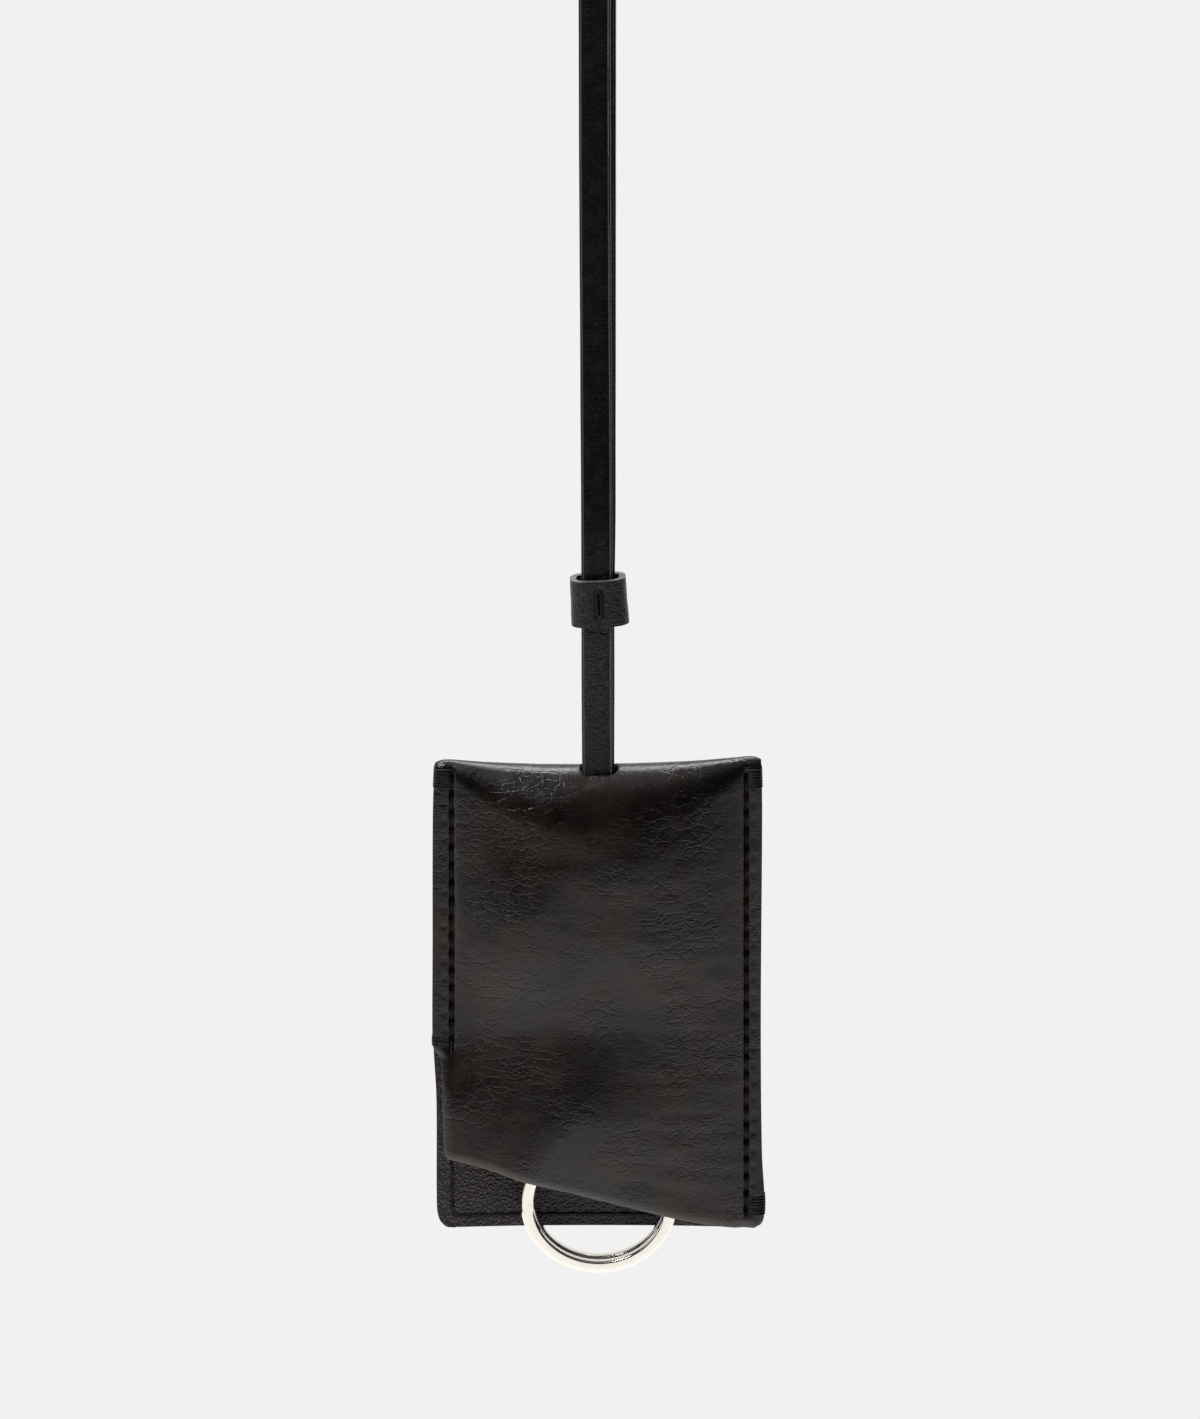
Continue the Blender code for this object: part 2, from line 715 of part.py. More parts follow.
def main():
    clear_scene()
    parts = collection("key_pouch")
    cutters = collection("cutters")
    cutters.hide_render = True
    strap = material("strap_leather", STRAP_BLACK, 0.6)
    leather = material("outer_leather", LEATHER_BLACK, 0.35)
    pebbled = material("pebbled_leather", LEATHER_PEBBLED, 0.6)
    thread = material("thread", THREAD_BLACK, 0.7)
    nickel = material("nickel", NICKEL, 0.12, 1.0)

    neck_strap(strap, parts)
    ring_tab(strap, parts)
    tab_stitch(thread, parts)
    split_ring(nickel, parts)

    outer_leather(leather, parts, cutters)
    front_lining(pebbled, parts)
    back_lining(pebbled, parts)
    corner = front_corner("front_corner", 0.0, LEATHER, 0.0, leather, parts)
    corner_lining = front_corner(
        "front_corner_lining", LEATHER + GAP, LINING, CORNER_LINING_MARGIN, pebbled, parts
    )
    middle = hinge_place()
    for piece in (corner, corner_lining):
        piece.data.transform(Matrix.Translation(-middle))
        piece.location = middle

    seam_thread("left_seam_thread", -SEAM_X, TOP_HEM, LEFT_SEAM_END, thread, parts)
    seam_thread("right_seam_thread", SEAM_X, TOP_HEM, POUCH_HEIGHT - HEM_INSET - TACK_HEIGHT, thread, parts)
    hem_thread(thread, parts)
    back_thread(thread, parts)
    bar_tack("bar_tack_top_left", -1, TOP_HEM + TACK_HEIGHT / 2, thread, parts)
    bar_tack("bar_tack_top_right", 1, TOP_HEM + TACK_HEIGHT / 2, thread, parts)
    bar_tack("bar_tack_seam_end", -1, LEFT_SEAM_END - TACK_HEIGHT / 2, thread, parts)
    bar_tack("bar_tack_bottom_right", 1, POUCH_HEIGHT - HEM_INSET - TACK_HEIGHT / 2, thread, parts)

    keeper_band(strap, parts)
    keeper_stitch(thread, parts)


main()
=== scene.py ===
import logging
import math
from dataclasses import dataclass, field
from enum import Enum
from typing import Any, Callable, Sequence

import bpy
from bpy.types import Material, Node, NodeSocket, NodeTree, Object
from mathutils import Matrix, Vector, noise
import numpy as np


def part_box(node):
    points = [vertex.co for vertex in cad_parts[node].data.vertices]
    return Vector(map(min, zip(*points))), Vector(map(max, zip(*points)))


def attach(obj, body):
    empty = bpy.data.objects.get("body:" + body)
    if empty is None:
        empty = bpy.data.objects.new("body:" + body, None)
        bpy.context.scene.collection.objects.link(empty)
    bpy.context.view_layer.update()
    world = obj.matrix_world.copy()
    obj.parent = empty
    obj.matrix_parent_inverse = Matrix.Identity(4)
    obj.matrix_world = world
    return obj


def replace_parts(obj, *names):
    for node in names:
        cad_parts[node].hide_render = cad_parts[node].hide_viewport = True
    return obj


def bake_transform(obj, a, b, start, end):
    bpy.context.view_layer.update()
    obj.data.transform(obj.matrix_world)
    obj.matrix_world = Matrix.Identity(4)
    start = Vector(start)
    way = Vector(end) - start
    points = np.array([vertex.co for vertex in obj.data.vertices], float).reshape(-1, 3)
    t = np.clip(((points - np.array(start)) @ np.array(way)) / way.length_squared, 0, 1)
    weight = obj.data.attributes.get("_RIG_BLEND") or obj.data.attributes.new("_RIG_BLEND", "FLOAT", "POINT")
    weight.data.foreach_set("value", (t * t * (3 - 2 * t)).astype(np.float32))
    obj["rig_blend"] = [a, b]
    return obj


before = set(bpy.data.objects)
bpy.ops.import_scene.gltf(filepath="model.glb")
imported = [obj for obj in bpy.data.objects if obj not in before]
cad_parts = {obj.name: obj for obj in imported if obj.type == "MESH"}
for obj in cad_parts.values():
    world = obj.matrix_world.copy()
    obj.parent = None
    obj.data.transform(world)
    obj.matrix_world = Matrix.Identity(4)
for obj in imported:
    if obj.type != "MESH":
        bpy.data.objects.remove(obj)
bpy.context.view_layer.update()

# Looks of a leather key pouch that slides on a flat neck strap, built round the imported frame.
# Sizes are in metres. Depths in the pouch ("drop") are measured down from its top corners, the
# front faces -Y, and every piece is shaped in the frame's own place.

MM = 0.001
WELD = 0.002 * MM
STRAP_WIDTH = 6.8 * MM
LOG = logging.getLogger("key_pouch")

Place = tuple[float, float]
Profile = tuple[Place, ...]
Stretch = tuple[float, float, float]
Colour = tuple[float, float, float]


# ---- Shaping helpers


class Side(Enum):
    """Which wall of the pouch: the value is its direction along Y."""

    FRONT = -1
    BACK = 1


def smooth_step(low: float, high: float, value: float) -> float:
    """Eases from 0 at low to 1 at high."""
    t = min(1.0, max(0.0, (value - low) / (high - low)))
    return t * t * (3 - 2 * t)


def bell(value: float, width: float) -> float:
    """A rounded bump of height 1 at value 0."""
    return math.exp(-((value / width) ** 2))


def hermite(start: Any, end: Any, leave: Any, arrive: Any, t: float) -> Any:
    """Reads a smooth curve between two numbers or two points.

    Args:
        start: Where it starts.
        end: Where it ends.
        leave: Its slope at the start.
        arrive: Its slope at the end.
        t: Share of the way, from 0 to 1.

    Returns:
        The number or point there.
    """
    return (
        (2 * t**3 - 3 * t**2 + 1) * start
        + (t**3 - 2 * t**2 + t) * leave
        + (-2 * t**3 + 3 * t**2) * end
        + (t**3 - t**2) * arrive
    )


def smooth_at(places: Sequence[Place], t: float) -> float:
    """Reads a smooth curve through a few places, held level beyond its ends.

    Args:
        places: Pairs (position, value), in order of position.
        t: Position to read.

    Returns:
        The value there.
    """
    if t <= places[0][0]:
        return places[0][1]
    if t >= places[-1][0]:
        return places[-1][1]
    i = max(k for k in range(len(places) - 1) if places[k][0] <= t)

    def slope(k: int) -> float:
        low, high = places[max(k - 1, 0)], places[min(k + 1, len(places) - 1)]
        return (high[1] - low[1]) / (high[0] - low[0])

    (t0, v0), (t1, v1) = places[i], places[i + 1]
    span = t1 - t0
    return hermite(v0, v1, slope(i) * span, slope(i + 1) * span, (t - t0) / span)


def rounded_corners(half: Place, radius: float, steps: int) -> list[list[Place]]:
    """Corners of a rounded rectangle, going round once.

    Args:
        half: Half its width and half its depth.
        radius: Radius of its corners.
        steps: Straight pieces in a corner.

    Returns:
        The points of each of the four corners.
    """
    corners = []
    for quarter in range(4):
        x = (half[0] - radius) * (1 if quarter in (0, 3) else -1)
        y = (half[1] - radius) * (1 if quarter in (0, 1) else -1)
        turns = [math.pi / 2 * (quarter + k / steps) for k in range(steps + 1)]
        corners.append([(x + radius * math.cos(turn), y + radius * math.sin(turn)) for turn in turns])
    return corners


def ripple(point: Vector, size: float) -> float:
    """Soft random unevenness, the same on every run."""
    return noise.noise(point / size)


def choose(*objects: Object) -> Object:
    """Selects only these objects and makes the first one active.

    Args:
        objects: The objects to select.

    Returns:
        The active object.
    """
    bpy.ops.object.select_all(action="DESELECT")
    for obj in objects:
        obj.select_set(True)
    bpy.context.view_layer.objects.active = objects[0]
    return objects[0]


def named(name: str) -> Object:
    """Names the newly added object and its mesh.

    Args:
        name: The new name.

    Returns:
        The object.
    """
    obj = bpy.context.active_object
    obj.name = name
    obj.data.name = name
    return obj


def finish_modifier(obj: Object, kind: str, **settings: Any) -> None:
    """Adds one modifier with these settings and applies it.

    Args:
        obj: The object to change.
        kind: The modifier's type.
        settings: Its properties by name.
    """
    choose(obj)
    modifier = obj.modifiers.new(kind.title(), kind)
    for name, value in settings.items():
        setattr(modifier, name, value)
    bpy.ops.object.modifier_apply(modifier=modifier.name)


def edit_all(obj: Object, *steps: Callable[[], Any]) -> None:
    """Runs edit-mode operators on the whole mesh.

    Args:
        obj: The mesh to change.
        steps: The operators, in order.
    """
    choose(obj)
    bpy.ops.object.mode_set(mode="EDIT")
    bpy.ops.mesh.select_all(action="SELECT")
    for step in steps:
        step()
    bpy.ops.object.mode_set(mode="OBJECT")


def smooth(obj: Object, degrees: float = 40.0) -> Object:
    """Shades a mesh smooth where it bends by less than an angle.

    Args:
        obj: The mesh.
        degrees: The angle from which an edge stays sharp.

    Returns:
        The same object.
    """
    choose(obj)
    bpy.ops.object.shade_smooth_by_angle(angle=math.radians(degrees))
    return obj


def dress(obj: Object, body: str, node: str, slot: str, *finishes: Material) -> Object:
    """Gives a piece its finishes and its body, and lets it stand for its CAD node.

    Args:
        obj: The finished mesh.
        body: The body that it moves with.
        node: The CAD node that it stands for.
        slot: The record's material slot.
        finishes: Its materials, in the order of its slots.

    Returns:
        The same object.
    """
    coat(obj, slot, *finishes)
    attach(obj, body)
    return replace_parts(obj, node)


def coat(obj: Object, slot: str, *finishes: Material) -> None:
    """Puts finishes in a piece's material slots, keeping which face has which.

    Args:
        obj: The mesh.
        slot: The record's material slot; not used.
        finishes: Its materials: the face's first, then the cut edge's.
    """
    while len(obj.data.materials) < len(finishes):
        obj.data.materials.append(None)
    for index, finish in enumerate(finishes):
        obj.data.materials[index] = finish


def sheet(name: str, across: int, along: int, place: Callable[[float, float], Vector]) -> Object:
    """Adds a grid and lays it out along a surface.

    Args:
        name: The piece's name.
        across: Faces across it.
        along: Faces along it.
        place: Gives the point at a share across and a share along, each from 0 to 1.

    Returns:
        The open mesh.
    """
    bpy.ops.object.select_all(action="DESELECT")
    bpy.ops.mesh.primitive_grid_add(x_subdivisions=across, y_subdivisions=along, size=1.0)
    obj = named(name)
    for vert in obj.data.vertices:
        vert.co = place(vert.co.x + 0.5, vert.co.y + 0.5)
    obj.data.materials.append(None)
    obj.data.materials.append(None)
    return obj


def recalculate(obj: Object) -> None:
    """Makes the faces' directions agree, outwards where the mesh is closed."""
    edit_all(obj, lambda: bpy.ops.mesh.normals_make_consistent(inside=False))


def turn_towards(obj: Object, index: int, out: Vector) -> None:
    """Turns an open sheet so that its outer side looks the right way.

    Args:
        obj: The sheet.
        index: One of its faces.
        out: The direction that this face has to look.
    """
    recalculate(obj)
    if obj.data.polygons[index].normal.dot(out) < 0:
        edit_all(obj, bpy.ops.mesh.flip_normals)


def close_tube(obj: Object, ends: bool) -> None:
    """Joins a rolled sheet's two long edges, and fills its open ends.

    Args:
        obj: The rolled sheet.
        ends: Whether it has open ends to fill.
    """
    edit_all(obj, lambda: bpy.ops.mesh.remove_doubles(threshold=WELD))
    if ends:
        edit_all(obj, lambda: bpy.ops.mesh.fill_holes(sides=0))
    recalculate(obj)


def thicken(obj: Object, thickness: float, offset: float = -1.0, even: bool = False) -> None:
    """Gives a sheet its thickness, with the second finish on its cut edges.

    Args:
        obj: The sheet.
        thickness: Its thickness.
        offset: -1 to grow inwards from its face, 0 to grow both ways.
        even: Whether bends keep the full thickness.
    """
    finish_modifier(
        obj, "SOLIDIFY", thickness=thickness, offset=offset, use_even_offset=even, material_offset_rim=1
    )


def store(obj: Object, name: str, value: Callable[[Vector], float]) -> None:
    """Stores a value on every vertex, for its finish to read."""
    stored = obj.data.attributes.new(name, "FLOAT", "POINT")
    stored.data.foreach_set("value", [value(vert.co) for vert in obj.data.vertices])


def thread_run(name: str, runs: Sequence[Sequence[Vector]], radius: float, sides: int = 2) -> Object:
    """Lays round threads along lines of points, as one mesh.

    Args:
        name: The piece's name.
        runs: The lines, each a list of points.
        radius: The thread's radius.
        sides: Fineness of its section.

    Returns:
        The closed mesh.
    """
    bpy.ops.object.select_all(action="DESELECT")
    bpy.ops.curve.primitive_nurbs_path_add()
    obj = named(name)
    obj.data.splines.clear()
    obj.data.bevel_depth = radius
    obj.data.bevel_resolution = sides
    obj.data.use_fill_caps = True
    for run in runs:
        line = obj.data.splines.new("POLY")
        line.points.add(len(run) - 1)
        for point, place in zip(line.points, run):
            point.co = (*place, 1.0)
    choose(obj)
    bpy.ops.object.convert(target="MESH")
    recalculate(obj)
    return smooth(named(name), 50.0)


def rolled_edges(obj: Object, width: float, segments: int = 2) -> None:
    """Rounds a sheet's cut edges."""
    sharp = {"limit_method": "ANGLE", "angle_limit": math.radians(58)}
    finish_modifier(obj, "BEVEL", width=width, segments=segments, use_clamp_overlap=True, **sharp)


class Stitch(Enum):
    """Shape of one stitch: the share left free at each end, and (share along it, height in mm)."""

    SADDLE = (
        0.09,
        ((0, -0.55), (0.08, -0.1), (0.25, 0.1), (0.5, 0.14), (0.75, 0.1), (0.92, -0.1), (1, -0.55)),
    )
    FINE = (0.06, ((0, -0.3), (0.15, 0), (0.5, 0), (0.85, 0), (1, -0.3)))
    TAB = (0.0, ((0, -0.35), (0.2, 0), (0.5, 0.0875), (0.8, 0), (1, -0.35)))

    def between(self, start: Vector, end: Vector, side: int) -> list[Vector]:
        """Lays one stitch from hole to hole.

        Args:
            start: The first hole.
            end: The next hole.
            side: The way out of the leather, as -1 or 1 along Y.

        Returns:
            The thread's points, its ends sunk in the holes.
        """
        free, heights = self.value
        gap = (end - start) * free
        a, b = start + gap, end - gap
        return [a.lerp(b, share) + Vector((0, side * height * MM, 0)) for share, height in heights]

    def along(self, lines: Sequence[Sequence[Vector]], side: int) -> list[list[Vector]]:
        """Sews along lines of holes, each stitch as its own run of thread."""
        return [self.between(a, b, side) for line in lines for a, b in zip(line, line[1:])]


# ---- Finishes


class Nodes:
    """A node tree under construction: adds nodes and joins them up."""

    def __init__(self, tree: NodeTree) -> None:
        """Starts on a tree."""
        self.tree = tree

    def add(self, kind: str, **values: Any) -> Node:
        """Adds a node.

        Args:
            kind: The node's type.
            values: Properties by name, or inputs by name with _ for a space.

        Returns:
            The node.
        """
        node = self.tree.nodes.new(kind)
        for name, value in values.items():
            if hasattr(node, name):
                setattr(node, name, value)
                continue
            key = int(name[1:]) if name[1:].isdigit() else name.replace("_", " ")
            socket = node.inputs[key]
            if isinstance(value, NodeSocket):
                self.tree.links.new(value, socket)
            else:
                socket.default_value = value
        return node


@dataclass
class Shader(Nodes):
    """One material under construction."""

    name: str
    colour: Colour
    roughness: float
    metallic: float = 0.0

    def __post_init__(self) -> None:
        """Starts the material with its plain values."""
        self.material = bpy.data.materials.new(self.name)
        self.material.use_nodes = True
        super().__init__(self.material.node_tree)
        self.surface = self.tree.nodes["Principled BSDF"]
        self.surface.inputs["Base Color"].default_value = (*self.colour, 1.0)
        self.surface.inputs["Roughness"].default_value = self.roughness
        self.surface.inputs["Metallic"].default_value = self.metallic
        self.place = self.add("ShaderNodeTexCoord").outputs["Object"]

    def scaled(self, size: float, stretch: Stretch) -> NodeSocket:
        """Places on the piece, counted in pattern widths."""
        scale = tuple(s / size for s in stretch)
        return self.add("ShaderNodeMapping", Vector=self.place, Scale=scale).outputs[0]

    def noise(
        self, size: float, detail: float = 2.0, stretch: Stretch = (1, 1, 1), **more: Any
    ) -> NodeSocket:
        """Cloudy variation."""
        spot = self.scaled(size, stretch)
        return self.add("ShaderNodeTexNoise", Vector=spot, Scale=1.0, Detail=detail, **more).outputs[0]

    def cells(
        self, size: float, feature: str = "F1", warp: float = 0.0, stretch: Stretch = (1, 1, 1)
    ) -> NodeSocket:
        """Cell pattern, as pebbles or as the creases between them.

        Args:
            size: Width of a cell, in metres.
            feature: The Voronoi feature to read.
            warp: How far the cells are pushed about, as a share of their size.
            stretch: How much finer it is along each axis.

        Returns:
            Its distance value.
        """
        spot = self.scaled(size, stretch)
        if warp:
            push = self.add("ShaderNodeTexNoise", Vector=spot, Scale=0.9, Detail=1.0).outputs["Color"]
            spot = self.add("ShaderNodeMix", data_type="VECTOR", _0=warp, _4=spot, _5=push).outputs[1]
        return self.add("ShaderNodeTexVoronoi", feature=feature, Vector=spot, Scale=1.0).outputs["Distance"]

    def spread(
        self, value: NodeSocket, low: float, high: float, to_low: float = 0.0, to_high: float = 1.0
    ) -> NodeSocket:
        """Stretches a range of a value to another range, held at its ends."""
        values = {"_0": value, "_1": low, "_2": high, "_3": to_low, "_4": to_high}
        return self.add("ShaderNodeMapRange", interpolation_type="SMOOTHSTEP", **values).outputs[0]

    def math(self, operation: str, first: Any, second: Any) -> NodeSocket:
        """Works out one value from two."""
        return self.add("ShaderNodeMath", operation=operation, _0=first, _1=second).outputs[0]

    def tint(self, share: NodeSocket, other: Colour) -> None:
        """Blends the base colour towards another.

        Args:
            share: How much of the other colour shows.
            other: The other colour.
        """
        base = self.surface.inputs["Base Color"]
        under = base.links[0].from_socket if base.is_linked else (*self.colour, 1.0)
        mix = self.add("ShaderNodeMix", data_type="RGBA", _0=share, _6=under, _7=(*other, 1.0))
        self.tree.links.new(mix.outputs[2], base)

    def stored(self, name: str) -> NodeSocket:
        """Reads a value stored on the mesh, which is 0 where there is none."""
        return self.add("ShaderNodeAttribute", attribute_name=name).outputs["Fac"]

    def shine(self, level: float) -> None:
        """Sets how shiny the face is, with painted shade taking the shine down in the grooves of the seams.
        """
        dulled = self.spread(self.stored("seam_shade"), 0.0, 1.0, level, 0.05)
        self.tree.links.new(dulled, self.surface.inputs["Specular IOR Level"])

    def rough(self, value: NodeSocket) -> None:
        """Lets the roughness vary."""
        self.tree.links.new(value, self.surface.inputs["Roughness"])

    def relief(self, *layers: tuple[NodeSocket, float]) -> None:
        """Adds bump layers, one on the other.

        Args:
            layers: Pairs of a height value and how tall it is, in metres.
        """
        under = None
        for height, tall in layers:
            depth = abs(tall)
            bump = self.add("ShaderNodeBump", Height=height, Distance=depth, Strength=1.0, invert=tall < 0)
            if under is not None:
                self.tree.links.new(under, bump.inputs["Normal"])
            under = bump.outputs[0]
        self.tree.links.new(under, self.surface.inputs["Normal"])


@dataclass(frozen=True)
class SmoothLeather:
    """Satin black calf: fine crinkled creases, soft clouding in the gloss, and rubbed warm tone."""

    colour: Colour = (0.0032, 0.0022, 0.0020)
    rubbed: Colour = (0.0110, 0.0072, 0.0060)
    roughness: Place = (0.19, 0.29)
    crease_size: float = 1.3 * MM
    crease_depth: float = 0.04 * MM
    crinkle_size: float = 3.0 * MM
    crinkle_depth: float = 0.07 * MM
    grain_size: float = 0.62 * MM
    grain_depth: float = 0.06 * MM
    pore_size: float = 0.28 * MM
    pore_depth: float = 0.006 * MM
    cloud_size: float = 14 * MM
    wear_size: float = 5 * MM
    patch_size: float = 11 * MM
    specular: float = 0.5

    def make(self) -> Material:
        """Builds the material."""
        shader = Shader("pouch_leather", self.colour, self.roughness[0])
        cloud = shader.noise(self.cloud_size, 3.0)
        shader.tint(shader.spread(cloud, 0.38, 0.68), self.rubbed)
        shader.shine(self.specular)
        wear = shader.noise(self.wear_size, 4.0)
        shader.rough(shader.spread(wear, 0.35, 0.65, *self.roughness))
        creases = shader.cells(self.crease_size, "DISTANCE_TO_EDGE", 0.6, (0.8, 1.0, 1.5))
        patches = shader.spread(shader.noise(self.patch_size, 2.0), 0.42, 0.62)
        lines = shader.math("MULTIPLY", shader.spread(creases, 0.0, 0.11, 1.0, 0.0), patches)
        crinkle = shader.noise(self.crinkle_size, 3.0, (1.0, 1.0, 1.35), Distortion=0.9)
        grain = shader.noise(self.grain_size, 3.0, (0.8, 1.0, 1.5), Distortion=1.4)
        pores = shader.noise(self.pore_size, 2.0)
        shader.relief(
            (crinkle, self.crinkle_depth),
            (lines, -self.crease_depth),
            (grain, self.grain_depth),
            (pores, self.pore_depth),
        )
        return shader.material


@dataclass(frozen=True)
class PebbledLeather:
    """Grained lining: small rounded pebbles, with painted shade darkening the valleys between them."""

    colour: Colour = (0.031, 0.0235, 0.0225)
    # painted shade: the near-black colour in the valleys between the pebbles
    painted_valley_shade: Colour = (0.003, 0.0025, 0.0025)
    roughness: float = 0.42
    pebble_size: float = 0.7 * MM
    pebble_depth: float = 0.17 * MM
    pore_size: float = 0.2 * MM
    pore_depth: float = 0.012 * MM
    specular: float = 0.5

    def make(self) -> Material:
        """Builds the material."""
        shader = Shader("pebbled_leather", self.colour, self.roughness)
        pebbles = shader.cells(self.pebble_size, "F1", 0.12)
        # painted shade in the valleys
        shader.tint(shader.spread(pebbles, 0.32, 0.58), self.painted_valley_shade)
        shader.shine(self.specular)
        height = shader.spread(pebbles, 0.1, 0.62, 1.0, 0.0)
        pores = shader.noise(self.pore_size, 2.0)
        shader.relief((height, self.pebble_depth), (pores, self.pore_depth))
        return shader.material


@dataclass(frozen=True)
class StrapLeather:
    """Thin firm strap leather: dull black with fine short creases across it, and a painted highlight on the
    pressed line near each edge.
    """

    colour: Colour = (0.0026, 0.0025, 0.0026)
    dusty: Colour = (0.0065, 0.0062, 0.0060)
    # painted highlight: the lighter colour of the pressed lines near the edges, standing in for the light
    # that the rounded edges catch
    line: Colour = (0.11, 0.107, 0.102)
    roughness: Place = (0.28, 0.42)
    specular: float = 0.37
    dust_size: float = 3 * MM
    wear_size: float = 2 * MM
    crease_size: float = 1.1 * MM
    crease_depth: float = 0.25 * MM
    cell_size: float = 0.9 * MM
    cell_depth: float = 0.08 * MM
    pore_size: float = 0.25 * MM
    pore_depth: float = 0.008 * MM

    def make(self) -> Material:
        """Builds the material."""
        shader = Shader("strap_leather", self.colour, self.roughness[0])
        shader.shine(self.specular)
        shader.tint(shader.spread(shader.noise(self.dust_size, 4.0), 0.42, 0.7), self.dusty)
        # painted highlight along the pressed lines
        shader.tint(shader.stored("pressed_line_highlight"), self.line)
        shader.rough(shader.spread(shader.noise(self.wear_size, 3.0), 0.35, 0.65, *self.roughness))
        creases = shader.noise(self.crease_size, 4.0, (0.9, 1.0, 1.3), Distortion=2.2)
        cells = shader.cells(self.cell_size, "DISTANCE_TO_EDGE", 0.5, (0.8, 1.0, 1.2))
        lines = shader.spread(cells, 0.0, 0.14)
        pores = shader.noise(self.pore_size, 2.0)
        shader.relief((creases, self.crease_depth), (lines, self.cell_depth), (pores, self.pore_depth))
        return shader.material


@dataclass(frozen=True)
class EdgePaint:
    """Painted cut edge of leather: smooth, a little lighter than the face and slightly uneven."""

    name: str = "edge_paint"
    colour: Colour = (0.022, 0.0215, 0.019)
    worn: Colour = (0.04, 0.0385, 0.034)
    roughness: float = 0.34
    worn_size: float = 1.2 * MM
    uneven_size: float = 1.6 * MM
    uneven_depth: float = 0.04 * MM

    def make(self) -> Material:
        """Builds the material."""
        shader = Shader(self.name, self.colour, self.roughness)
        shader.tint(shader.spread(shader.noise(self.worn_size, 3.0), 0.4, 0.7), self.worn)
        shader.relief((shader.noise(self.uneven_size, 2.0), self.uneven_depth))
        return shader.material


# A lighter copy of the edge paint for the keeper's rims: its extra lightness is painted light, the top light
# that the rims catch.
KEEPER_EDGE_PAINTED_LIGHT = EdgePaint("keeper_edge", (0.085, 0.083, 0.078), (0.15, 0.146, 0.135), 0.42)


@dataclass(frozen=True)
class WaxedThread:
    """Black bonded thread with a tight twist."""

    colour: Colour = (0.003, 0.003, 0.0031)
    light: Colour = (0.009, 0.0088, 0.0086)
    roughness: float = 0.55
    specular: float = 0.3
    twist_scale: float = 700.0
    twist_turn: Stretch = (0.0, 0.7, 0.6)
    twist_depth: float = 0.06 * MM

    def make(self) -> Material:
        """Builds the material."""
        shader = Shader("waxed_thread", self.colour, self.roughness)
        shader.surface.inputs["Specular IOR Level"].default_value = self.specular
        spot = shader.add("ShaderNodeMapping", Vector=shader.place, Rotation=self.twist_turn).outputs[0]
        settings = {"Scale": self.twist_scale, "Distortion": 0.6, "Detail": 1.0}
        twist = shader.add("ShaderNodeTexWave", Vector=spot, **settings).outputs["Color"]
        shader.tint(twist, self.light)
        shader.relief((twist, self.twist_depth))
        return shader.material


@dataclass(frozen=True)
class PolishedNickel:
    """Bright nickel plate with faint polishing marks and small scratches."""

    colour: Colour = (0.80, 0.787, 0.752)
    dull: Colour = (0.70, 0.69, 0.66)
    roughness: Place = (0.16, 0.24)
    dull_size: float = 2.2 * MM
    polish_size: float = 1.4 * MM
    wave_size: float = 5 * MM
    wave_depth: float = 0.02 * MM
    scratch_size: float = 0.5 * MM
    scratch_depth: float = 0.0015 * MM

    def make(self) -> Material:
        """Builds the material."""
        shader = Shader("polished_nickel", self.colour, self.roughness[0], 1.0)
        shader.tint(shader.spread(shader.noise(self.dull_size, 4.0), 0.55, 0.8), self.dull)
        shader.rough(shader.spread(shader.noise(self.polish_size, 3.0), 0.4, 0.7, *self.roughness))
        scratches = shader.noise(self.scratch_size, 2.0, (0.25, 1.0, 1.6))
        waves = shader.noise(self.wave_size, 1.0)
        shader.relief((waves, self.wave_depth), (scratches, self.scratch_depth))
        return shader.material


@dataclass
class Finishes:
    """Every finish of the object, made once."""

    leather: Material = field(default_factory=lambda: SmoothLeather().make())
    pebbled: Material = field(default_factory=lambda: PebbledLeather().make())
    strap: Material = field(default_factory=lambda: StrapLeather().make())
    edge: Material = field(default_factory=lambda: EdgePaint().make())
    # the keeper's rims, lightened with painted light
    keeper_edge: Material = field(default_factory=lambda: KEEPER_EDGE_PAINTED_LIGHT.make())
    thread: Material = field(default_factory=lambda: WaxedThread().make())
    nickel: Material = field(default_factory=lambda: PolishedNickel().make())


# ---- The pouch's form


@dataclass(frozen=True)
class Bulge:
    """A soft change of the front's depth, in mm. Its pairs go from the middle to the left seam."""

    depth: Place
    start: Place
    end: Place
    across: Place | None = None

    def at(self, across: float, down: float, left: float) -> float:
        """Reads the change at one place.

        Args:
            across: Place across, in mm.
            down: Place down, in mm.
            left: Share of the way from the middle to the left seam.

        Returns:
            The change of depth, in mm.
        """
        depth, start, end = (a + (b - a) * left for a, b in (self.depth, self.start, self.end))
        share = smooth_step(*self.across, across) if self.across else 1.0
        return depth * share * smooth_step(start, end, down)


BULGES = {
    "under_fold": Bulge((1.9, 3.9), (2, 2), (27, 40)),
    "hollow": Bulge((-1.2, -2.4), (38, 40), (64, 64)),
    "ring_right": Bulge((0.5, 0.5), (66, 66), (80, 80), (-12, 18)),
    "lower": Bulge((-0.99, -0.99), (82, 96), (112, 112)),
    "lower_left": Bulge((-1.21, -1.21), (82, 96), (112, 112), (18, -12)),
}
CORNER_BULGE = Bulge((2.1, 2.8), (60, 60), (84, 96), (16, -8))


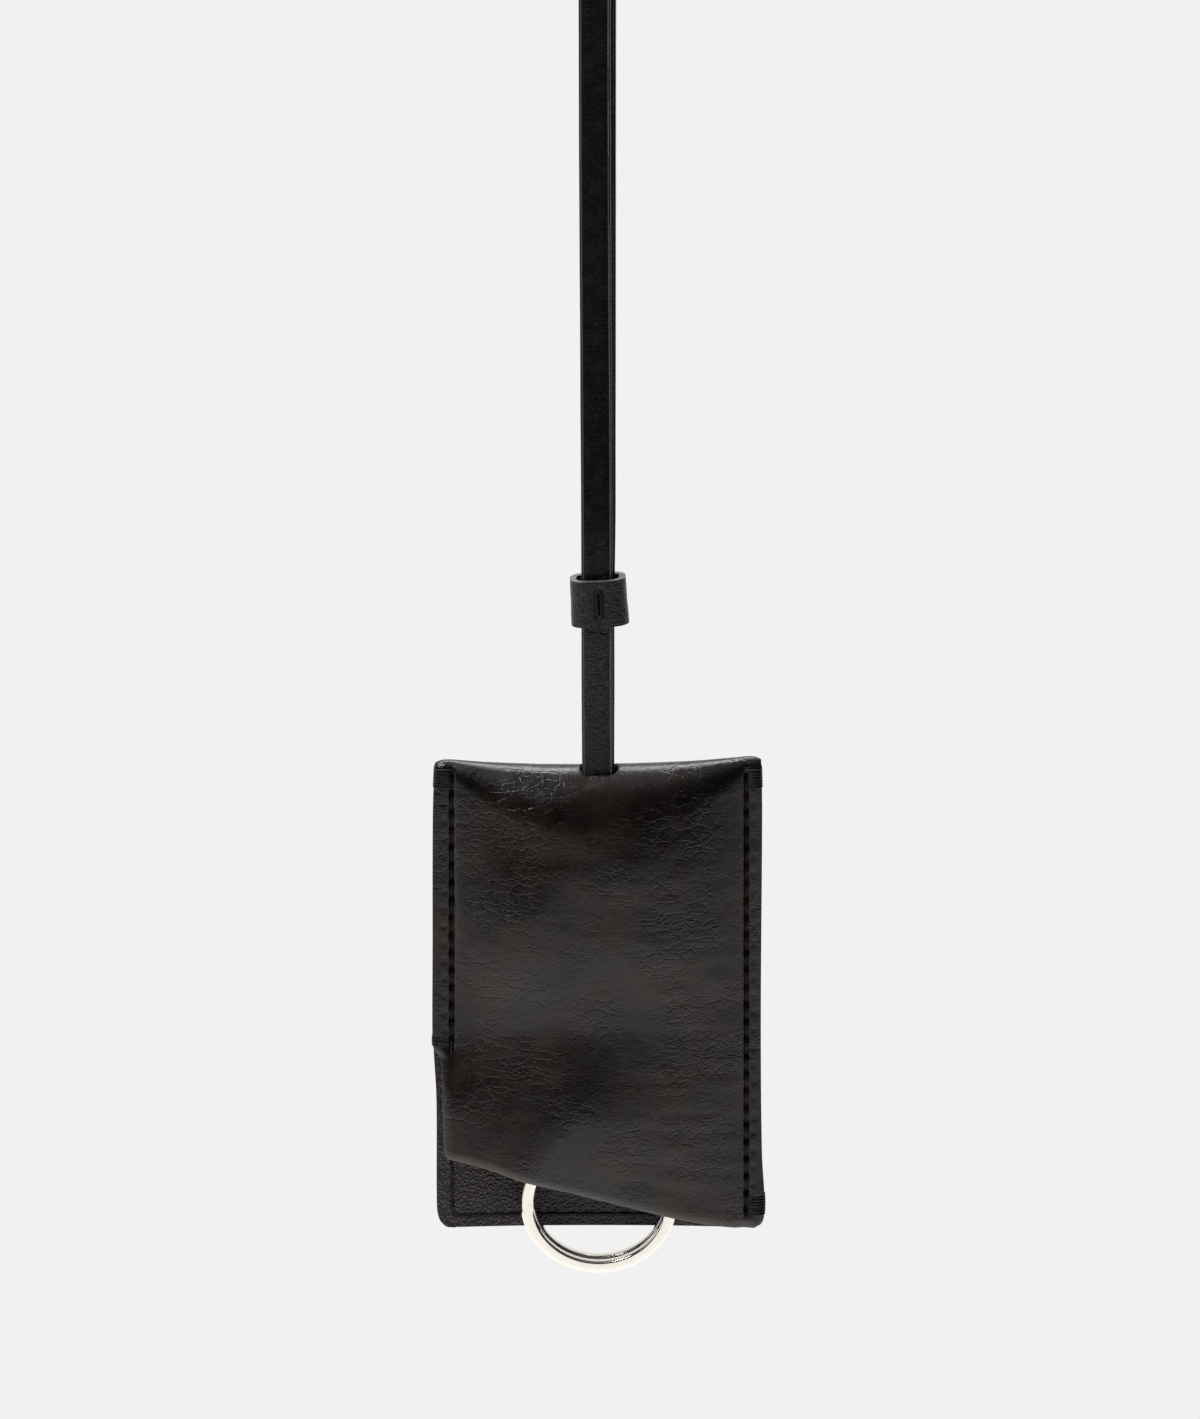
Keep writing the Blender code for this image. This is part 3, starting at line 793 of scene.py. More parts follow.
@dataclass(frozen=True)
class PouchForm:
    """Outline and padded depth of the pouch, shared by all its pieces. Profiles are in mm."""

    top: float = -216.0 * MM
    half_width: float = 36.4 * MM
    seam_reach: float = 32.7 * MM
    free_reach: float = 38.5 * MM
    seam_half: float = 2.05 * MM
    belly: float = 5.5235 * MM
    belly_offset: float = 0.5413 * MM
    belly_squareness: float = 2.4035
    top_dip: float = 1.5 * MM
    top_lean: float = 0.38 * MM
    fold_fall: float = 14.0 * MM
    fold_fall_edge: float = 3.5 * MM
    stitch_pitch: float = 4.1 * MM
    first_stitch: float = 4.2 * MM
    left_seam_end: float = 68.0 * MM
    right_seam_end: float = 107.5 * MM
    last_right_stitch: float = 104.5 * MM
    back_bottom: float = 111.9 * MM
    back_sag: float = 1.7 * MM
    roll_reach: float = 2.3 * MM
    roll_depth: float = 0.7 * MM
    hem_inset: float = 3.0 * MM
    wall: float = 1.0 * MM
    groove_depth: float = 0.5 * MM
    groove_width: float = 0.5 * MM
    hole_depth: float = 0.35 * MM
    hole_width: float = 0.42 * MM
    mark_depth: float = 0.1 * MM
    mark_offset: float = 1.6 * MM
    mark_width: float = 0.7 * MM
    row_bias: Place = (1.25, 1.6)
    front_left: Profile = (
        *((0, -36.2), (12, -36.75), (45, -37.1), (66.5, -37.3), (68.2, -37.0), (70.2, -35.65)),
        *((82, -35.2), (90.5, -34.9), (92.4, -34.6), (93.4, -34.0), (94.0, -33.0)),
    )
    back_left: Profile = (
        *((0, -36.2), (12, -36.75), (45, -37.1), (66.5, -37.2), (81, -36.6), (106.5, -36.7)),
        *((109.6, -36.3), (111.4, -35.0), (111.9, -33.9)),
    )
    right_edge: Profile = ((0, 35.8), (12, 36.1), (62, 36.2), (93, 36.7), (104.5, 37.4))
    right_foot: Profile = ((-3, 37.3), (-1, 36.6), (0, 35.0))
    front_bottom: Profile = (
        *((-34.6, 93.6), (-25, 94.9), (-17.5, 97.1), (0.5, 102.2)),
        *((13.7, 106.3), (22.6, 109.0), (30, 110.8), (35, 111.4)),
    )
    left_seam: Profile = ((3.5, -32.5), (68, -33.0), (110, -33.2))
    right_seam: Profile = ((3.5, 32.5), (68, 33.0), (108, 33.3))
    puffs: tuple[tuple[float, float, float], ...] = ((0.55, -12, 9), (-0.25, 12, 10))

    def fullness(self, x: float) -> float:
        """Share of the belly's depth at this x: 1 in the middle, 0 from the seams out."""
        return max(0.0, 1.0 - abs(x / self.seam_reach) ** self.belly_squareness)

    def fall(self, x: float) -> float:
        """Height of the rounded fold at the top."""
        return self.fold_fall_edge + (self.fold_fall - self.fold_fall_edge) * self.fullness(x)

    def dip(self, x: float) -> float:
        """Drop of the top edge, which hangs a little lower on the left."""
        return self.top_dip * self.fullness(x) + self.top_lean * (1 - x / self.seam_reach)

    def z(self, drop: float) -> float:
        """World Z of a place this far below the top corners."""
        return self.top - drop

    def left(self, side: Side, drop: float) -> float:
        """X of the left edge of a wall."""
        return smooth_at(self.front_left if side is Side.FRONT else self.back_left, drop / MM) * MM

    def right(self, side: Side, drop: float) -> float:
        """X of the right edge of a wall, whose rounded foot is lower on the back."""
        low = self.front_bottom[-1][1] if side is Side.FRONT else self.back_bottom / MM
        foot = tuple((low + height, x) for height, x in self.right_foot)
        return smooth_at(self.right_edge + foot, drop / MM) * MM

    def bottom(self, side: Side, x: float) -> float:
        """Drop of a wall's lower edge."""
        if side is Side.BACK:
            return self.back_bottom + self.back_sag * self.fullness(x)
        return smooth_at(self.front_bottom, x / MM) * MM

    def seam(self, x_side: int, drop: float) -> float:
        """X of a side seam's line of stitches."""
        return smooth_at(self.right_seam if x_side > 0 else self.left_seam, drop / MM) * MM

    def hem(self, count: int) -> list[Place]:
        """Holes (x, drop) along the lower hem, from the left seam on."""
        low = self.back_bottom - self.hem_inset
        places = [self.seam(-1, low) + self.stitch_pitch * i for i in range(count + 1)]
        return [(x, low + self.back_sag * self.fullness(x)) for x in places]

    def body(self, side: Side, x: float, drop: float) -> float:
        """Share of the belly's depth on a wall, which runs out past the left seam where the front is free.

        Args:
            side: The front or the back.
            x: Place across.
            drop: Place down.

        Returns:
            The share.
        """
        full = self.fullness(x)
        if side is Side.BACK or x > 0:
            return full
        loose = max(0.0, 1 - abs(x / self.free_reach) ** 2)
        start = self.left_seam_end
        return full + (loose - full) * smooth_step(start - 4 * MM, start + 14 * MM, drop)

    def swell(self, side: Side, x: float, drop: float) -> float:
        """How far a wall bulges out beyond its plain form, where the ring and strap press on it.

        Args:
            side: The front or the back.
            x: Place across.
            drop: Place down.

        Returns:
            The extra depth.
        """
        across, down = x / MM, drop / MM
        full = self.body(side, x, drop)
        if side is Side.BACK:
            return 0.5 * MM * full * (smooth_step(15, 60, down) - smooth_step(80, 112, down))
        left = smooth_step(-4, -20, across)
        depth = sum(bulge.at(across, down, left) for bulge in BULGES.values())
        beside_slot = smooth_step(3, 9, down) * smooth_step(22, 12, down)
        depth += sum(height * bell(across - x_mm, width) for height, x_mm, width in self.puffs) * beside_slot
        return (full * depth + full**0.6 * CORNER_BULGE.at(across, down, left)) * MM

    def wall_y(self, side: Side, x: float, drop: float, inset: float = 0.0) -> float:
        """Y of a wall's face below the fold, moved inwards by an inset."""
        depth = self.seam_half + self.belly * self.body(side, x, drop) + self.swell(side, x, drop) - inset
        return self.belly_offset + side.value * depth

    def groove(self, x: float, drop: float) -> float:
        """Depth pressed into the face by the side seams, deepest at each stitch hole."""
        sewn, away, phase = self.beside_seam(x, drop)
        line = self.groove_depth * bell(away, self.groove_width) * (1.0 + 0.15 * phase)
        hole = self.hole_depth * bell(away, self.hole_width) * max(0.0, phase) ** 3
        pressed = self.mark_depth * bell(away - self.mark_offset, self.mark_width) * max(0.0, -phase)
        return sewn * (line + hole + pressed)

    def beside_seam(self, x: float, drop: float) -> tuple[float, float, float]:
        """Where a place lies beside the nearer side seam.

        Args:
            x: Place across.
            drop: Place down.

        Returns:
            Whether it is sewn there, from 0 to 1; the distance outboard of the seam; and the
            place between its holes, from 1 at a hole to -1 between two.
        """
        x_side = 1 if x > 0 else -1
        end = self.left_seam_end if x_side < 0 else self.right_seam_end
        sewn = smooth_step(1.5 * MM, 3.5 * MM, drop) * smooth_step(end + 1.5 * MM, end - 0.5 * MM, drop)
        phase = math.cos(2 * math.pi * (drop - self.first_stitch) / self.stitch_pitch)
        return sewn, x_side * (x - self.seam(x_side, drop)), phase

    def seam_shade(self, point: Vector) -> float:
        """Painted shade: how far the shine is taken down, 1 in a seam's groove and less on the marks pressed
        beside it.
        """
        sewn, away, phase = self.beside_seam(point.x, self.top - point.z)
        groove = bell(away, 0.62 * MM) * (0.8 + 0.2 * phase)
        marks = 0.3 * bell(away - self.mark_offset, 0.8 * MM) * max(0.0, -phase) * (point.x > 0)
        return sewn * min(1.0, groove + marks)

    def stitch_drops(self, start: float, end: float) -> list[float]:
        """Drops of the holes between a start and an end."""
        count = int((end - start) / self.stitch_pitch + 0.5)
        return [start + self.stitch_pitch * i for i in range(count + 1)]


@dataclass
class WallRows:
    """Lays a sheet over the front, the fold and the back, denser where the seams are."""

    form: PouchForm
    front_rows: int = 190
    fold_rows: int = 44
    back_rows: int = 88

    def columns(self) -> list[float]:
        """Places across as shares of the half width, from -1 to 1."""
        marks = ((0.0, 72), (30.6, 16), (33.9, 8), (36.4, 0))
        right = []
        for (start, count), (end, _) in zip(marks, marks[1:]):
            half = count // 2 if start == 0.0 else count
            right += [(start + (end - start) * i / half) / marks[-1][0] for i in range(half)]
        right.append(1.0)
        return [-f for f in reversed(right[1:])] + right

    def wall_point(
        self, side: Side, f: float, share: float, inset: float = 0.0, margin: float = 0.0
    ) -> Vector:
        """A point on the front or back wall.

        Args:
            side: The front or the back.
            f: Share of the half width, from -1 to 1.
            share: 0 at the fold's foot and 1 at the lower edge.
            inset: Depth below the outer face.
            margin: Distance kept from the cut edges.

        Returns:
            The point.
        """
        form = self.form
        x = f * form.half_width
        drop = 0.0
        share = 1 - (1 - share) ** form.row_bias[side is Side.BACK]
        for _ in range(3):
            start = form.dip(x) + form.fall(x)
            drop = start + (form.bottom(side, x) - margin - start) * share
            reach = form.right(side, drop) if f > 0 else -form.left(side, drop)
            x = f * (reach - margin)
        return Vector((x, form.wall_y(side, x, drop, inset), form.z(drop)))

    def fold_point(self, f: float, turn: float) -> Vector:
        """A point on the top fold, where turn goes from 0 at the front to pi at the back."""
        form = self.form
        x = f * form.half_width
        drop = 0.0
        for _ in range(2):
            drop = form.dip(x) + form.fall(x) * (1 - math.sin(turn))
            reach = form.right(Side.FRONT, drop) if f > 0 else -form.left(Side.FRONT, drop)
            x = f * reach
        side = Side.FRONT if turn < math.pi / 2 else Side.BACK
        depth = form.seam_half + form.belly * form.fullness(x) + form.swell(side, x, drop)
        return Vector((x, form.belly_offset - depth * math.cos(turn), form.z(drop)))


# ---- Pieces


@dataclass
class NeckStrap:
    """The flat neck strap: up the rear, over the loop it hangs by and down the front, as one strip."""

    finishes: Finishes
    form: PouchForm
    width: float = STRAP_WIDTH
    thick: float = 1.6 * MM
    pitch: float = 2.4 * MM
    end_drop: float = 86.876 * MM
    loop_radius: float = 14.5 * MM
    loop_neck: float = 30.0 * MM
    edge_round: float = 0.3 * MM
    line_inset: float = 0.2 * MM
    line_half: float = 0.16 * MM
    line_depth: float = 0.08 * MM
    edge_from: float = 0.55
    twist_angle: float = math.radians(7.0)
    wobble: float = 0.07 * MM
    uneven: float = 0.012
    steps: int = 420
    fine_steps: int = 40

    def route(self) -> list[Place]:
        """Places (y, height above the pouch) along the rear strand and the loop's rear half."""
        near = self.pitch / 2
        loop_z = -self.form.top + self.thick / 2 - self.loop_radius
        neck_z = loop_z - self.loop_neck
        radius = self.loop_radius
        return [
            (near, -self.end_drop),
            (near, -60 * MM),
            (near, -20 * MM),
            (near, 20 * MM),
            (near, 60 * MM),
            (near, 100 * MM),
            (near + 0.1 * MM, 140 * MM),
            (near + 0.5 * MM, neck_z),
            (radius * 0.26, neck_z + self.loop_neck * 0.27),
            (radius * 0.62, neck_z + self.loop_neck * 0.56),
            (radius * 0.92, neck_z + self.loop_neck * 0.82),
            (radius, loop_z),
            (radius * math.sin(math.radians(60)), loop_z + radius * 0.5),
            (radius * 0.5, loop_z + radius * math.cos(math.radians(30))),
            (0.0, loop_z + radius),
        ]

    def centreline(self) -> list[Vector]:
        """Evenly spaced points along the whole strap, in world space."""
        half = self.route()
        places = [Vector(place) for place in half + [(-y, z) for y, z in reversed(half[:-1])]]
        fine: list[Vector] = []
        for i, (start, end) in enumerate(zip(places, places[1:])):
            leave = (end - places[i - 1]) / 2 if i else end - start
            arrive = (places[i + 2] - start) / 2 if i < len(places) - 2 else end - start
            fine += [hermite(start, end, leave, arrive, k / self.fine_steps) for k in range(self.fine_steps)]
        fine.append(places[-1])
        spots = [0.0]
        for near, far in zip(fine, fine[1:]):
            spots.append(spots[-1] + (far - near).length)
        points, k = [], 0
        for i in range(self.steps + 1):
            target = spots[-1] * i / self.steps
            while k < len(fine) - 2 and spots[k + 1] < target:
                k += 1
            spot = fine[k].lerp(fine[k + 1], (target - spots[k]) / (spots[k + 1] - spots[k]))
            points.append(Vector((self.drift(i / self.steps, spot.y), spot.x, self.form.z(-spot.y))))
        return points

    def drift(self, share: float, height: float) -> float:
        """Sideways shift of the strap: the front strand hangs a little left of the rear one.

        Args:
            share: 0 at the rear end and 1 at the front end.
            height: Height above the pouch's top.

        Returns:
            The shift along X.
        """
        front = -0.3 - 0.15 * smooth_step(-10, 20, height / MM) - 0.45 * smooth_step(20, 170, height / MM)
        rear = 0.25 * smooth_step(30, 60, height / MM)
        return (rear + (front - rear) * smooth_step(0.42, 0.58, share)) * MM

    def build(self) -> list[Object]:
        """Builds and dresses the strap."""
        line = self.centreline()
        outline = self.section()
        count = len(outline)

        def place(u: float, v: float) -> Vector:
            i = round(v * self.steps)
            along = (line[min(i + 1, self.steps)] - line[max(i - 1, 0)]).normalized()
            side = Matrix.Rotation(self.twist(i / self.steps), 3, along) @ Vector((1, 0, 0))
            out = side.cross(along).normalized()
            across, deep = outline[round(u * count) % count]
            deep += self.wobble * ripple(Vector((across * 3, deep, v * 0.3)), 4 * MM)
            across *= 1 + self.uneven * ripple(Vector((0, v, 0)), 0.03)
            return line[i] + side * across + out * deep

        obj = sheet("neck_strap_leather", count, self.steps, place)
        # marks the pressed lines, which get a painted highlight
        lines = obj.data.attributes.new("pressed_line_highlight", "FLOAT", "POINT")
        for index in range(len(obj.data.vertices)):
            beside = abs(outline[index % (count + 1) % count][0]) - self.line_at()
            lines.data[index].value = float(-0.01 * MM < beside < self.line_half + 0.01 * MM)
        close_tube(obj, True)
        # painted shade: the strap's shine is taken down above the keeper
        store(obj, "seam_shade", self.painted_shade_above_keeper)
        for face in obj.data.polygons:
            face.material_index = int(abs(face.normal.x) > self.edge_from)
        smooth(obj, 50)
        dress(obj, "strap", "neck_strap", "strap_leather", self.finishes.strap, self.finishes.edge)
        return [obj]

    def twist(self, share: float) -> float:
        """Angle that the strap turns about its own length above the keeper."""
        rise = smooth_step(0.22, 0.36, share) - smooth_step(0.42, 0.5, share)
        fall = smooth_step(0.5, 0.58, share) - smooth_step(0.64, 0.78, share)
        return self.twist_angle * (fall - rise)

    def painted_shade_above_keeper(self, point: Vector) -> float:
        """Painted shade: how far the strap's shine is taken down, more above the keeper."""
        return 0.85 * smooth_step(30, 60, (point.z - self.form.top) / MM)

    def line_at(self) -> float:
        """Distance of the pressed lines from the strap's middle."""
        return self.width / 2 - self.edge_round - self.line_inset

    def section(self) -> list[Place]:
        """The strap's cross-section: a flat strip with rounded edges, going round once."""
        inner, reach = self.line_at(), self.line_half
        marks = [(inner + reach, 0.0), (inner, self.line_depth), (inner - reach, 0.0), (inner / 3, 0.0)]
        across = marks + [(-x, depth) for x, depth in reversed(marks)]
        points: list[Place] = []
        half = (self.width / 2, self.thick / 2)
        for quarter, corner in enumerate(rounded_corners(half, self.edge_round, 3)):
            points += corner
            if quarter in (0, 2):
                way = 1 - quarter
                points += [(way * x, corner[-1][1] - way * depth) for x, depth in across]
        return points


@dataclass
class RingTab:
    """The short leather tab folded round the ring and stitched to the strap's ends."""

    finishes: Finishes
    width: float = STRAP_WIDTH
    inner: float = 2.632 * MM
    leather: float = 1.0 * MM
    stitch_inset: float = 1.3 * MM
    stitch_top: float = 1.6 * MM
    stitch_length: float = 2.2 * MM
    stitch_pitch: float = 2.9 * MM
    stitch_count: int = 5
    cross_share: float = 0.75

    def build(self) -> list[Object]:
        """Builds the tab and its stitches."""
        low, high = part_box("ring_tab")
        middle = self.inner + self.leather / 2
        bend = low.z + middle + self.leather / 2
        straight = high.z - bend
        length = 2 * straight + math.pi * middle

        def place(u: float, v: float) -> Vector:
            x = (u - 0.5) * self.width
            s = v * length
            if s < straight:
                return Vector((x, -middle, high.z - s))
            if s > length - straight:
                return Vector((x, middle, high.z - (length - s)))
            turn = math.pi + (s - straight) / middle
            return Vector((x, middle * math.cos(turn), bend + middle * math.sin(turn)))

        obj = sheet("ring_tab_leather", 12, 72, place)
        thicken(obj, self.leather, 0.0, True)
        recalculate(obj)
        rolled_edges(obj, 0.25 * MM)
        smooth(obj)
        dress(obj, "strap", "ring_tab", "strap_leather", self.finishes.strap, self.finishes.edge)
        return [obj, self.stitches(high.z)]

    def stitches(self, tab_top: float) -> Object:
        """Sews a box of stitches on both faces of the tab, below its top edge."""
        half = self.width / 2 - self.stitch_inset
        top = tab_top - self.stitch_top
        drops = [self.stitch_pitch * k for k in range(self.stitch_count)]
        runs = []
        for face in (-1, 1):
            y = face * (self.inner + self.leather + 0.1 * MM)
            sides = [(x, top - drop) for x in (-half, half) for drop in drops]
            ends = [((x, z), (x, z - self.stitch_length)) for x, z in sides]
            for z in (top, top - drops[-1] - self.stitch_length):
                ends.append(((-half * self.cross_share, z), (half * self.cross_share, z)))
            for start, end in ends:
                a, b = (Vector((x, y, z)) for x, z in (start, end))
                runs.append(Stitch.TAB.between(a, b, face))
        obj = thread_run("tab_stitching", runs, 0.27 * MM)
        return dress(obj, "strap", "tab_stitch", "thread", self.finishes.thread)


@dataclass
class SplitRing:
    """Two flat turns of nickel wire with the short step that lets a key in."""

    finishes: Finishes
    radius: float = 17.5 * MM
    band: float = 2.75 * MM
    thick: float = 4.2 * MM
    split: float = 0.3 * MM
    tilt: float = math.radians(6.0)
    step_arc: float = math.radians(26)
    start: float = math.radians(157)
    spring: float = 0.3 * MM
    spring_from: float = math.radians(31)
    spring_end: Place = (math.pi / 2, 1.6 * math.pi)
    corner: float = 0.5 * MM
    end_taper: float = 0.3
    centre: Vector = field(default_factory=lambda: Vector((0, 1.6855 * MM, -321.4 * MM)))
    steps: int = 360

    def build(self) -> list[Object]:
        """Builds and dresses the ring."""
        half = (self.band / 2, (self.thick - self.split) / 4)
        outline = [point for corner in rounded_corners(half, self.corner, 5) for point in corner]
        count = len(outline)
        pitch = (self.thick - self.split) / 2 + self.split
        total = 4 * math.pi - self.step_arc / 2
        wire = self.radius - self.band / 2
        lean = Matrix.Rotation(self.tilt, 3, "X")

        def place(u: float, v: float) -> Vector:
            angle = total * v
            climb = smooth_step(2 * math.pi - self.step_arc, 2 * math.pi, angle)
            end = min(angle, total - angle) * wire
            shrink = 1 - self.end_taper * (1 - smooth_step(0, 0.5 * MM, end))
            radial, axial = outline[round(u * count) % count]
            sprung = smooth_step(-0.01, 0.01, angle - self.spring_from)
            sprung *= 1 - smooth_step(*self.spring_end, angle)
            reach = wire + radial * shrink + self.spring * sprung
            heading = angle + self.start
            y = pitch * (climb - 0.5) + axial * shrink
            return self.centre + lean @ Vector((reach * math.cos(heading), y, reach * math.sin(heading)))

        obj = sheet("split_key_ring", count, self.steps, place)
        close_tube(obj, True)
        smooth(obj, 35)
        return [dress(obj, "ring", "split_ring", "nickel", self.finishes.nickel, self.finishes.nickel)]


@dataclass
class Pouch:
    """The folded leather shell, its linings, seams and bar tacks."""

    finishes: Finishes
    form: PouchForm
    rows: WallRows
    slot_half: Place = (4.25 * MM, 2.9 * MM)
    slot_corner: float = 1.8 * MM
    slot_snap: float = 1.5 * MM
    lining: float = 0.98 * MM
    lining_rows: int = 90
    lining_margin: float = 0.12 * MM
    leather_gap: float = 0.02 * MM
    hinge_start: Vector = field(default_factory=lambda: Vector((-36.4 * MM, -7.08 * MM, -286.4 * MM)))
    hinge_end: Vector = field(default_factory=lambda: Vector((29.7 * MM, -7.08 * MM, -325.6 * MM)))
    bend_before: float = 2.0 * MM
    bend_after: float = 8.0 * MM
    shoulder: float = 0.13 * MM
    shoulder_at: float = 30.6 * MM
    tack_pitch: float = 0.68 * MM
    hem_stitches: int = 15
    seam_thread: float = 0.28 * MM
    tack_thread: float = 0.22 * MM

    def build(self) -> list[Object]:
        """Builds every piece of the pouch."""
        return [self.shell(), self.front_lining(), self.back_lining(), *self.seams(), *self.tacks()]

    def shell(self) -> Object:
        """The outer leather in one piece: front, top fold and back."""
        rows, form = self.rows, self.form
        columns = rows.columns()
        across = len(columns) - 1
        along = rows.front_rows + rows.fold_rows + rows.back_rows
        details: dict[tuple[int, int], Vector] = {}

        def place(u: float, v: float) -> Vector:
            i, j = round(u * across), round(v * along)
            f = columns[i]
            if j < rows.front_rows:
                turn, point = 0.0, rows.wall_point(Side.FRONT, f, 1 - j / rows.front_rows)
            elif j > rows.front_rows + rows.fold_rows:
                share = (j - rows.front_rows - rows.fold_rows) / rows.back_rows
                turn, point = math.pi, rows.wall_point(Side.BACK, f, share)
            else:
                turn = math.pi * (j - rows.front_rows) / rows.fold_rows
                point = rows.fold_point(f, turn)
            details[i, j] = self.detail(point, turn)
            return point

        obj = sheet("pouch_leather_shell", across, along, place)
        stored = obj.data.attributes.new("detail", "FLOAT_VECTOR", "POINT")
        for index in range(len(obj.data.vertices)):
            stored.data[index].vector = details[index % (across + 1), index // (across + 1)]
        self.cut_slot(obj)
        top = max(obj.data.polygons, key=lambda face: face.center.z).index
        turn_towards(obj, top, Vector((0, 0, 1)))
        outer = {tuple(round(c, 6) for c in vert.co) for vert in obj.data.vertices}
        thicken(obj, form.wall)
        detail = obj.data.attributes["detail"]
        for vert in obj.data.vertices:
            if tuple(round(c, 6) for c in vert.co) in outer:
                vert.co += detail.data[vert.index].vector
        obj.data.attributes.remove(detail)
        rolled_edges(obj, 0.3 * MM)
        smooth(obj, 45)
        # painted shade in the seams' grooves and on the marks beside them
        store(obj, "seam_shade", form.seam_shade)
        coat(obj, "outer_leather", self.finishes.leather, self.finishes.edge)
        self.bend(obj)
        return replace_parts(obj, "outer_leather", "front_corner")

    def detail(self, point: Vector, turn: float) -> Vector:
        """Small relief of the outer face: seam grooves, ripples and the pressed edge.

        Args:
            point: A place on the plain form.
            turn: The wall's direction there: 0 at the front, pi/2 at the top and pi at the back.

        Returns:
            How far the face moves.
        """
        form = self.form
        drop = form.top - point.z
        ripples = 0.10 * ripple(point, 9 * MM) + 0.05 * ripple(point, 4 * MM)
        slanted = Vector((point.x * 0.5 + point.z * 0.6, 0, point.z * 1.6))
        drag = 0.13 * ripple(slanted, 6 * MM) * smooth_step(0, 25, point.x / MM)
        soft = (ripples + drag) * MM * (0.35 + 0.65 * form.fullness(point.x))
        seam_end = form.left_seam_end
        sewn = 1.0 if point.x > 0 else smooth_step(seam_end + 2 * MM, seam_end - 3 * MM, drop)
        beside = bell(abs(point.x) - self.shoulder_at, 1.1 * MM)
        shoulder = self.shoulder * beside * smooth_step(2, 8, drop / MM) * sewn
        rolled = self.roll(point.x, drop, Side.FRONT if turn < math.pi / 2 else Side.BACK)
        height = soft - form.groove(point.x, drop) + shoulder - rolled
        return Vector((0, -math.cos(turn), math.sin(turn))) * height

    def roll(self, x: float, drop: float, side: Side) -> float:
        """How far the face curves in next to a cut edge."""
        form = self.form
        beside = min(x - form.left(side, drop), form.right(side, drop) - x)
        nearest = min(beside, form.bottom(side, x) - drop)
        return form.roll_depth * max(0.0, 1 - nearest / form.roll_reach) ** 2

    def slot_distance(self, point: Vector) -> tuple[float, Vector]:
        """Distance from the slot's outline in plan, and the direction out of it."""
        half_x, half_y = (side - self.slot_corner for side in self.slot_half)
        dx, dy = abs(point.x) - half_x, abs(point.y) - half_y
        away = Vector((dx, dy)) if dx > 0 and dy > 0 else Vector((dx, 0) if dx > dy else (0, dy))
        distance = away.length if dx > 0 and dy > 0 else max(dx, dy)
        direction = away.normalized() if dx > 0 and dy > 0 else Vector((1, 0) if dx > dy else (0, 1))
        out = (math.copysign(direction.x, point.x), math.copysign(direction.y, point.y), 0)
        return distance - self.slot_corner, Vector(out)

    def cut_slot(self, obj: Object) -> None:
        """Opens the slot for the strap in the top fold."""
        form = self.form
        fold = form.z(form.fold_fall)
        choose(obj)
        obj.data.polygons.foreach_set("select", [False] * len(obj.data.polygons))
        obj.data.edges.foreach_set("select", [False] * len(obj.data.edges))
        obj.data.vertices.foreach_set("select", [False] * len(obj.data.vertices))
        for face in obj.data.polygons:
            face.select = face.center.z > fold and self.slot_distance(face.center)[0] < 0
        bpy.ops.object.mode_set(mode="EDIT")
        bpy.ops.mesh.delete(type="FACE")
        bpy.ops.mesh.select_all(action="DESELECT")
        bpy.ops.mesh.select_non_manifold(extend=False)
        bpy.ops.object.mode_set(mode="OBJECT")
        for vert in obj.data.vertices:
            distance, direction = self.slot_distance(vert.co)
            if vert.select and vert.co.z > fold and abs(distance) < self.slot_snap:
                vert.co -= direction * distance
                x = vert.co.x
                depth = form.seam_half + form.belly * form.fullness(x)
                turn = math.acos(max(-1.0, min(1.0, (form.belly_offset - vert.co.y) / depth)))
                vert.co.z = form.z(form.dip(x) + form.fall(x) * (1 - math.sin(turn)))

    def bend(self, obj: Object) -> None:
        """Lets the free corner of the front lift, while the rest stays with the pouch."""
        along = (self.hinge_end - self.hinge_start).normalized()
        middle = (self.hinge_start + self.hinge_end) / 2
        below = Vector((along.z, 0, -along.x))
        start, end = middle - below * self.bend_before, middle + below * self.bend_after
        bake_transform(obj, "pouch", "corner", start=start, end=end)
        weights = obj.data.attributes["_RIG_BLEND"]
        for vert in obj.data.vertices:
            if vert.co.y > self.form.belly_offset:
                weights.data[vert.index].value = 0.0

    def front_lining(self) -> Object:
        """Pebbled lining behind the front, following it round the free corner."""
        obj = self.lining_sheet("front_lining_leather", Side.FRONT)
        coat(obj, "pebbled_leather", self.finishes.pebbled, self.finishes.edge)
        self.bend(obj)
        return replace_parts(obj, "front_lining", "front_corner_lining")

    def back_lining(self) -> Object:
        """Pebbled lining inside the back, seen past the front's cut-away corner."""
        obj = self.lining_sheet("back_lining_leather", Side.BACK)
        # painted shade along the hem
        store(obj, "seam_shade", self.hem_shade)
        finishes = (self.finishes.pebbled, self.finishes.edge)
        return dress(obj, "pouch", "back_lining", "pebbled_leather", *finishes)

    def hem_shade(self, point: Vector) -> float:
        """Painted shade on the back lining: how far its shine is taken down, 1 along the stitched hem."""
        form = self.form
        drop = form.top - point.z
        below = drop - (form.back_bottom - form.hem_inset) - form.back_sag * form.fullness(point.x)
        beside = point.x - form.seam(-1, drop)
        hem = bell(below, 0.5 * MM) * smooth_step(-0.5 * MM, 0.5 * MM, beside)
        side = bell(beside, 0.5 * MM) * smooth_step(0.5 * MM, -0.5 * MM, below)
        return max(hem, side)

    def lining_sheet(self, name: str, side: Side) -> Object:
        """Makes a lining against the inside of one wall, as a closed mesh."""
        inset = self.form.wall + self.leather_gap
        columns = self.rows.columns()
        across = len(columns) - 1

        def place(u: float, v: float) -> Vector:
            return self.rows.wall_point(side, columns[round(u * across)], 1 - v, inset, self.lining_margin)

        obj = sheet(name, across, self.lining_rows, place)
        turn_towards(obj, 0, Vector((0, side.value, 0)))
        thicken(obj, self.lining)
        rolled_edges(obj, 0.15 * MM, 1)
        return smooth(obj, 45)

    def surface(self, x: float, drop: float, side: Side) -> Vector:
        """A place on the outer face at the bottom of its groove."""
        depth = self.form.groove(x, drop)
        y = self.form.wall_y(side, x, drop) - side.value * depth * 0.8
        return Vector((x, y, self.form.z(drop)))

